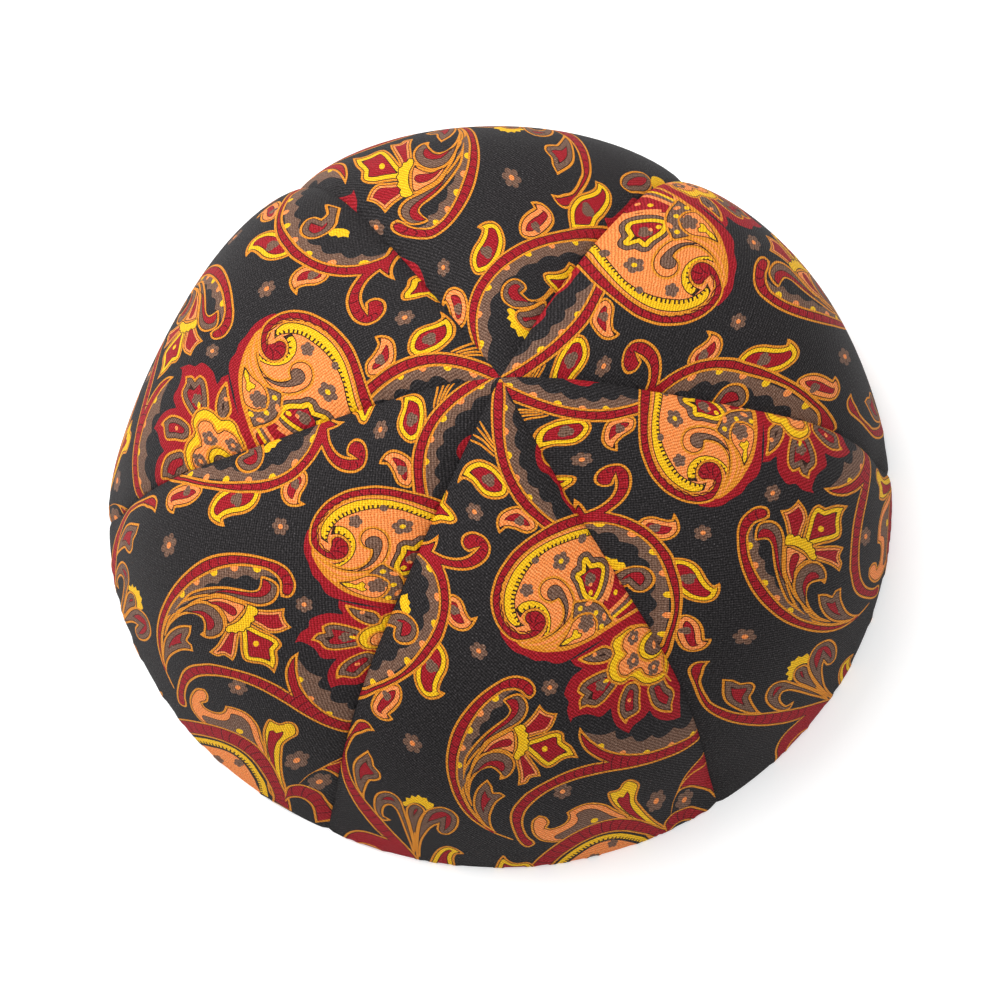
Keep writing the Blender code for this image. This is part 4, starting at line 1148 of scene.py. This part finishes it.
@dataclass
class PanelCloth:
    """One panel of printed cloth."""

    dome: Dome
    number: int
    edge_step: float = 1.4
    net_step: float = 2.6
    net_margin: float = 0.9
    net_least_width: float = 0.5
    top: float = 0.06
    thinnest: float = 1e-3
    row_count: int = 181
    column_count: int = 33
    rows: np.ndarray = field(init=False)
    columns: np.ndarray = field(init=False)
    widths: np.ndarray = field(init=False)

    def __post_init__(self) -> None:
        """Measure how wide the cloth is at even steps down the panel."""
        self.rows = np.linspace(0.0, 1.0, self.row_count)
        self.columns = np.linspace(0.0, 1.0, self.column_count)
        down = np.repeat(np.maximum(self.rows, 1e-3), len(self.columns))
        across = np.tile(self.columns, len(self.rows))
        points = self.dome.place(self.number, across, down, np.zeros_like(down), False)
        points = points.reshape(len(self.rows), len(self.columns), 3)
        steps = np.linalg.norm(np.diff(points, axis=1), axis=2)
        runs = np.concatenate([np.zeros((len(self.rows), 1)), np.cumsum(steps, axis=1)], axis=1)
        self.widths = runs - runs[:, len(self.columns) // 2][:, None]

    @property
    def name(self) -> str:
        """Name of the panel."""
        return SEAM_ROWS[self.number].name

    def shares(self, flat: np.ndarray) -> tuple[np.ndarray, np.ndarray]:
        """Turn places on the flat cloth into shares across and down the panel."""
        down = np.clip(flat[:, 1] / self.dome.length, 0.0, 1.0)
        place = down * (len(self.rows) - 1)
        low = np.minimum(np.floor(place).astype(int), len(self.rows) - 2)
        part = (place - low)[:, None]
        widths = self.widths[low] * (1.0 - part) + self.widths[low + 1] * part
        across = np.array([np.interp(x, row, self.columns) for x, row in zip(flat[:, 0], widths)])
        return across, down

    def gore(self) -> Outline:
        """Outline of the flat panel, from the crown down one side and up the other."""
        count = round(self.dome.length / self.edge_step)
        down = np.linspace(self.top / self.dome.length, 1.0, count)
        left = np.interp(down, self.rows, self.widths[:, 0])
        right = np.interp(down, self.rows, self.widths[:, -1])
        y = down * self.dome.length
        foot = np.linspace(left[-1], right[-1], round((right[-1] - left[-1]) / self.edge_step))[1:-1]
        left_side = np.stack([left, y], axis=1)
        right_side = np.stack([right, y], axis=1)[::-1]
        bottom = np.stack([foot, np.full_like(foot, self.dome.length)], axis=1)
        return turned_left(np.concatenate([left_side, bottom, right_side]))

    def net(self, gore: Outline) -> np.ndarray:
        """Places inside the gore that keep every facet small."""
        found = []
        rows = int(self.dome.length / self.net_step)
        for row in range(1, rows):
            y = row * self.net_step
            left = float(np.interp(y / self.dome.length, self.rows, self.widths[:, 0])) + self.net_margin
            right = float(np.interp(y / self.dome.length, self.rows, self.widths[:, -1])) - self.net_margin
            if right - left < self.net_least_width:
                continue
            count = max(2, round((right - left) / self.net_step) + 1)
            found += [(x, y) for x in np.linspace(left, right, count)]
        return np.array(found)

    def printed_sheet(self) -> tuple[list[Vector], list[list[int]], list[Dye]]:
        """Cut the flat gore along every printed edge.

        Returns:
            The places, the facets and the dye of each facet.
        """
        gore = self.gore()
        low, high = gore.min(axis=0) - 1.0, gore.max(axis=0) + 1.0
        outlines = [gore]
        dyes = [Dye.GROUND]
        for dye, laid in PLACEMENTS[self.name].shapes():
            if (laid.max(axis=0) < low).any() or (laid.min(axis=0) > high).any():
                continue
            outlines.append(turned_left(laid))
            dyes.append(dye)
        places: list[Vector] = []
        edges: list[tuple[int, int]] = []
        for outline in outlines:
            first = len(places)
            places += [Vector(point) for point in outline.tolist()]
            count = len(outline)
            edges += [(first + number, first + (number + 1) % count) for number in range(count)]
        places += [Vector(point) for point in self.net(gore).tolist()]
        cut, _, facets, _, _, _ = delaunay_2d_cdt(places, edges, [], 0, self.thinnest, False)
        spots = np.array(cut)
        corners = np.array(facets)
        middles = spots[corners].mean(axis=1)
        top = np.full(len(corners), -1)
        for number, outline in enumerate(outlines):
            top[inside(middles, outline)] = number
        kept = np.flatnonzero(inside(middles, gore))
        return list(cut), corners[kept].tolist(), [dyes[top[number]] for number in kept]

    def cut(self) -> tuple[float, float, float]:
        """Width, length and area of the flat panel, in metres."""
        gore = self.gore()
        width = float(gore[:, 0].max() - gore[:, 0].min())
        return width * MM, self.dome.length * MM, abs(area(gore)) * MM * MM

    def build(self, face_finish: bpy.types.Material, back_finish: bpy.types.Material) -> bpy.types.Object:
        """Build the panel.

        Args:
            face_finish: Finish of the printed side and of the rim.
            back_finish: Finish of the side that faces the head.

        Returns:
            The finished panel.
        """
        places, facets, dyes = self.printed_sheet()
        sheet = bmesh.new()
        verts = [sheet.verts.new((place.x, place.y, 0.0)) for place in places]
        colour = sheet.loops.layers.float_color.new("print")
        for facet, dye in zip(facets, dyes):
            face = sheet.faces.new([verts[corner] for corner in facet])
            for loop in face.loops:
                loop[colour] = dye.linear()
        bmesh.ops.delete(sheet, geom=[vert for vert in sheet.verts if not vert.link_faces], context="VERTS")
        flat = sheet.loops.layers.uv.new("cloth")
        for face in sheet.faces:
            for loop in face.loops:
                loop[flat].uv = (0.5 + loop.vert.co.x / CLOTH_SPAN, loop.vert.co.y / CLOTH_SPAN)
        bmesh.ops.solidify(sheet, geom=sheet.faces[:], thickness=1.0)
        spots = np.array([vert.co for vert in sheet.verts])
        middle = (spots[:, 2].min() + spots[:, 2].max()) / 2.0
        across, down = self.shares(spots[:, :2])
        inner = np.where(spots[:, 2] > middle, 0.0, 1.0)
        for face in sheet.faces:
            if all(vert.co.z < middle for vert in face.verts):
                face.material_index = 1
        points = self.dome.place(self.number, across, down, inner, True) * MM
        for vert, point in zip(sheet.verts, points.tolist()):
            vert.co = point
        bmesh.ops.recalc_face_normals(sheet, faces=sheet.faces[:])
        mesh = bpy.data.meshes.new(self.name + "_cloth")
        sheet.to_mesh(mesh)
        sheet.free()
        mesh.shade_smooth()
        mesh.set_sharp_from_angle(angle=math.radians(50.0))
        mesh.materials.append(face_finish)
        mesh.materials.append(back_finish)
        item = bpy.data.objects.new(self.name + "_cloth", mesh)
        bpy.context.scene.collection.objects.link(item)
        return item


Socket = bpy.types.NodeSocket
Plain = float | tuple[float, ...]


class Wiring:
    """Adds nodes to one node tree and joins them."""

    def __init__(self, tree: bpy.types.NodeTree) -> None:
        """Keep the tree that nodes are added to."""
        self.tree = tree

    def join(self, value: Socket | Plain, socket: Socket) -> None:
        """Give a socket a plain value, or what another socket puts out."""
        if isinstance(value, bpy.types.NodeSocket):
            self.tree.links.new(value, socket)
        else:
            socket.default_value = value

    def node(self, kind: str, inputs: dict[str | int, Socket | Plain], **settings: str) -> bpy.types.Node:
        """Add a node.

        Args:
            kind: Type of the node.
            inputs: What each input socket gets, by its name or number.
            settings: Fields of the node.

        Returns:
            The new node.
        """
        made = self.tree.nodes.new(kind)
        for name, value in settings.items():
            setattr(made, name, value)
        for name, value in inputs.items():
            self.join(value, made.inputs[name])
        return made

    def maths(self, operation: str, *values: Socket | Plain) -> Socket:
        """Result of one operation on one or two values."""
        return self.node("ShaderNodeMath", dict(enumerate(values)), operation=operation).outputs[0]

    def noise(self, place: Socket, per_mm: float, detail: float) -> Socket:
        """Smooth noise around zero on places in millimetres."""
        made = self.node("ShaderNodeTexNoise", {"Vector": place, "Scale": per_mm, "Detail": detail})
        return self.maths("SUBTRACT", made.outputs["Fac"], 0.5)

    def ripple(self, along_x: Socket, pitch: Socket, wobble: Socket) -> Socket:
        """Sine wave along a distance, with a wobble."""
        turns = self.maths("ADD", self.maths("DIVIDE", along_x, pitch), wobble)
        return self.maths("SINE", self.maths("MULTIPLY", turns, 2.0 * math.pi))

    def mixed(self, share: Socket | Plain, first: Socket | Plain, second: Socket | Plain) -> Socket:
        """Colour between two colours."""
        inputs = {0: share, 6: first, 7: second}
        return self.node("ShaderNodeMix", inputs, data_type="RGBA", blend_type="MIX").outputs[2]


def new_group(
    name: str, inputs: dict[str, str], outputs: dict[str, str]
) -> tuple[bpy.types.NodeTree, Wiring, bpy.types.NodeOutputs, bpy.types.NodeInputs]:
    """Start a shader node group.

    Args:
        name: Name of the group.
        inputs: Kind of each input socket.
        outputs: Kind of each output socket.

    Returns:
        The group, its wiring, the sockets that it reads and the sockets that it writes.
    """
    group = bpy.data.node_groups.new(name, "ShaderNodeTree")
    for label, kind in inputs.items():
        group.interface.new_socket(name=label, in_out="INPUT", socket_type="NodeSocket" + kind)
    for label, kind in outputs.items():
        group.interface.new_socket(name=label, in_out="OUTPUT", socket_type="NodeSocket" + kind)
    wiring = Wiring(group)
    return group, wiring, wiring.node("NodeGroupInput", {}).outputs, wiring.node("NodeGroupOutput", {}).inputs


def twill_weave() -> bpy.types.NodeTree:
    """Node group of a twill: diagonal ribs of spun thread that takes the dye unevenly, with painted shade in the
    hollows of the weave and a painted highlight on its crests.

    Returns:
        The group. It reads places on the cloth in millimetres.
    """
    group, wiring, given, result = new_group(
        "twill_weave",
        {"Cloth": "Vector", "Dye": "Color", "Rib Pitch": "Float", "Thread Pitch": "Float", "Relief": "Float",
         "Mottle": "Float"},
        {"Colour": "Color", "Roughness": "Float", "Height": "Float"},
    )
    spot = wiring.node("ShaderNodeSeparateXYZ", {0: given["Cloth"]}).outputs
    wobble = wiring.maths("MULTIPLY", wiring.noise(given["Cloth"], 0.9, 2.0), 1.1)
    down_rib = wiring.maths("MULTIPLY", wiring.maths("SUBTRACT", spot[0], spot[1]), math.sqrt(0.5))
    along_rib = wiring.maths("MULTIPLY", wiring.maths("ADD", spot[0], spot[1]), math.sqrt(0.5))
    rib = wiring.ripple(down_rib, given["Rib Pitch"], wobble)
    thread = wiring.ripple(along_rib, given["Thread Pitch"], wobble)
    fuzz = wiring.noise(given["Cloth"], 4.5, 1.0)
    height = wiring.maths("MULTIPLY_ADD", rib, 0.28, 0.5)
    height = wiring.maths("ADD", height, wiring.maths("MULTIPLY", thread, 0.17))
    height = wiring.maths("ADD", height, wiring.maths("MULTIPLY", fuzz, 0.8))
    hollow = wiring.maths("MULTIPLY", wiring.maths("SUBTRACT", 1.0, height), given["Relief"])
    uneven = wiring.maths("MULTIPLY", wiring.noise(given["Cloth"], 2.1, 2.0), given["Mottle"])
    # Gamma of the dye: uneven at random, and deeper in the weave's hollows, which is painted shade
    gamma_of_mottle_and_hollow_shade = wiring.maths("ADD", wiring.maths("ADD", uneven, 0.92), wiring.maths("MULTIPLY", hollow, 0.25))
    dye_mottle_and_hollow_shade = wiring.node("ShaderNodeGamma", {"Color": given["Dye"], "Gamma": gamma_of_mottle_and_hollow_shade}).outputs[0]
    # Painted shade in the hollows of the weave and painted highlight on the thread crests
    shade = wiring.maths("SUBTRACT", 1.24, wiring.maths("MULTIPLY", hollow, 0.72))
    shaded = wiring.node("ShaderNodeVectorMath", {0: dye_mottle_and_hollow_shade, "Scale": shade}, operation="SCALE").outputs[0]
    wiring.join(shaded, result["Colour"])
    wiring.join(wiring.maths("MULTIPLY_ADD", hollow, 0.2, 0.72), result["Roughness"])
    wiring.join(height, result["Height"])
    return group


def hem_stitch() -> bpy.types.NodeTree:
    """Node group of one row of running stitches along the hem.

    Returns:
        The group. Its mask is 1 on the thread.
    """
    group, wiring, given, result = new_group(
        "hem_stitch", {"Cloth": "Vector", "Line": "Float", "Stitch": "Float"}, {"Mask": "Float"}
    )
    spot = wiring.node("ShaderNodeSeparateXYZ", {0: given["Cloth"]}).outputs
    away = wiring.maths("ABSOLUTE", wiring.maths("SUBTRACT", spot[1], given["Line"]))
    on_line = wiring.maths("LESS_THAN", away, 0.26)
    part = wiring.maths("FRACT", wiring.maths("DIVIDE", spot[0], given["Stitch"]))
    in_stitch = wiring.maths("LESS_THAN", part, 0.74)
    wiring.join(wiring.maths("MULTIPLY", on_line, in_stitch), result["Mask"])
    return group


@dataclass(frozen=True)
class PrintedTwill:
    """Printed cotton twill, seen from its face or from its back."""

    rib_pitch: float = 0.64
    thread_pitch: float = 0.56
    # Depth of the weave's hollows, which sets their painted shade, the painted highlight on the crests, and their
    # roughness
    relief: float = 1.0
    mottle: float = 1.1
    specular: float = 0.2
    bump_strength: float = 0.7
    bump_distance: float = 0.00012
    back_fade: float = 0.6
    back_dye: tuple[float, float, float, float] = (0.075, 0.060, 0.056, 1.0)
    thread_dye: tuple[float, float, float, float] = (0.012, 0.011, 0.012, 1.0)
    stitch_from_rim: float = 8.6
    stitch_length: float = 2.8

    def material(
        self, name: str, weave: bpy.types.NodeTree, stitch: bpy.types.NodeTree | None, length: float
    ) -> bpy.types.Material:
        """Make the finish of one side of the cloth.

        Args:
            name: Name of the material.
            weave: Node group of the weave.
            stitch: Node group of the hem's stitches, for the back alone.
            length: Length of a panel in millimetres.

        Returns:
            The material.
        """
        material = bpy.data.materials.new(name)
        material.use_nodes = True
        wiring = Wiring(material.node_tree)
        shader = material.node_tree.nodes["Principled BSDF"]
        unwrapped = wiring.node("ShaderNodeUVMap", {}, uv_map="cloth").outputs[0]
        spread = {"Vector": unwrapped, "Location": (-CLOTH_SPAN / 2.0, 0.0, 0.0), "Scale": (CLOTH_SPAN, CLOTH_SPAN, 1.0)}
        cloth = wiring.node("ShaderNodeMapping", spread).outputs[0]
        dye = wiring.node("ShaderNodeAttribute", {}, attribute_name="print").outputs["Color"]
        if stitch:
            dye = wiring.mixed(self.back_fade, dye, self.back_dye)
        woven = wiring.node("ShaderNodeGroup", {}, node_tree=weave)
        values = {"Cloth": cloth, "Dye": dye, "Rib Pitch": self.rib_pitch, "Thread Pitch": self.thread_pitch,
                  "Relief": self.relief, "Mottle": self.mottle}
        for label, value in values.items():
            wiring.join(value, woven.inputs[label])
        colour, height = woven.outputs["Colour"], woven.outputs["Height"]
        if stitch:
            sewn = wiring.node("ShaderNodeGroup", {}, node_tree=stitch)
            wiring.join(cloth, sewn.inputs["Cloth"])
            wiring.join(length - self.stitch_from_rim, sewn.inputs["Line"])
            wiring.join(self.stitch_length, sewn.inputs["Stitch"])
            colour = wiring.mixed(sewn.outputs["Mask"], colour, self.thread_dye)
            height = wiring.maths("ADD", height, sewn.outputs["Mask"])
        relief = {"Height": height, "Strength": self.bump_strength, "Distance": self.bump_distance}
        bump = wiring.node("ShaderNodeBump", relief)
        wiring.join(colour, shader.inputs["Base Color"])
        wiring.join(woven.outputs["Roughness"], shader.inputs["Roughness"])
        wiring.join(bump.outputs[0], shader.inputs["Normal"])
        shader.inputs["Specular IOR Level"].default_value = self.specular
        return material


@dataclass
class Studio:
    """Pale floor, soft lights and the camera."""

    elevation_deg: float = 68.0
    distance: float = 0.935
    focal_mm: float = 141.1
    sensor_mm: float = 36.0
    shift: tuple[float, float] = (-0.0004, -0.0014)
    floor_size: float = 3.0
    floor_shade: float = 0.86
    floor_glow: float = 0.28
    world_strength: float = 0.24
    aim: tuple[float, float, float] = (0.0, 0.0, 0.03)

    def build_floor(self) -> bpy.types.Object:
        """A wide pale floor."""
        sheet = bmesh.new()
        bmesh.ops.create_grid(sheet, x_segments=1, y_segments=1, size=self.floor_size)
        mesh = bpy.data.meshes.new("floor")
        sheet.to_mesh(mesh)
        sheet.free()
        material = bpy.data.materials.new("pale_floor")
        material.use_nodes = True
        shader = material.node_tree.nodes["Principled BSDF"]
        shader.inputs["Base Color"].default_value = (self.floor_shade, self.floor_shade, self.floor_shade, 1.0)
        shader.inputs["Roughness"].default_value = 0.9
        shader.inputs["Emission Color"].default_value = (1.0, 1.0, 1.0, 1.0)
        shader.inputs["Emission Strength"].default_value = self.floor_glow
        mesh.materials.append(material)
        floor = bpy.data.objects.new("floor", mesh)
        bpy.context.scene.collection.objects.link(floor)
        return floor

    def light(self, name: str, place: tuple[float, float, float], size: float, power: float) -> None:
        """Add one soft light that faces the cap."""
        lamp = bpy.data.lights.new(name, "AREA")
        lamp.size = size
        lamp.energy = power
        item = bpy.data.objects.new(name, lamp)
        item.location = place
        item.rotation_euler = (Vector(self.aim) - Vector(place)).to_track_quat("-Z", "Y").to_euler()
        bpy.context.scene.collection.objects.link(item)

    def build(self) -> None:
        """Build the lights, the world and the camera."""
        self.light("key", (-0.85, 0.55, 1.2), 1.1, 24.0)
        self.light("overhead", (0.25, -0.1, 1.7), 2.0, 20.0)
        world = bpy.data.worlds.new("studio")
        world.use_nodes = True
        sky = world.node_tree.nodes["Background"]
        sky.inputs["Color"].default_value = (1.0, 1.0, 1.0, 1.0)
        sky.inputs["Strength"].default_value = self.world_strength
        bpy.context.scene.world = world
        bpy.context.scene.view_settings.view_transform = "Standard"
        camera = bpy.data.cameras.new("camera")
        camera.lens = self.focal_mm
        camera.sensor_width = self.sensor_mm
        camera.shift_x, camera.shift_y = self.shift
        item = bpy.data.objects.new("camera", camera)
        tilt = math.radians(self.elevation_deg)
        item.location = (0.0, -self.distance * math.cos(tilt), self.distance * math.sin(tilt))
        item.rotation_euler = (math.pi / 2.0 - tilt, 0.0, 0.0)
        bpy.context.scene.collection.objects.link(item)
        bpy.context.scene.camera = item


def main() -> None:
    """Build every piece in order."""
    logging.basicConfig(level=logging.INFO, format="%(name)s: %(message)s")
    studio = Studio()
    studio.build()
    studio.build_floor()
    dome = Dome()
    twill = PrintedTwill()
    weave = twill_weave()
    face_finish = twill.material("printed_twill", weave, None, dome.length)
    back_finish = twill.material("printed_twill_back", weave, hem_stitch(), dome.length)
    for number, row in enumerate(SEAM_ROWS):
        panel = PanelCloth(dome, number)
        item = panel.build(face_finish, back_finish)
        width, length, cut_area = panel.cut()
        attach(item, "root")
        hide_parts(row.name)
        facets = len(item.data.polygons)
        LOG.info("%s: %d facets, cut %.4f x %.4f m, %.5f square metres", row.name, facets, width, length, cut_area)


if __name__ == "__main__":
    main()
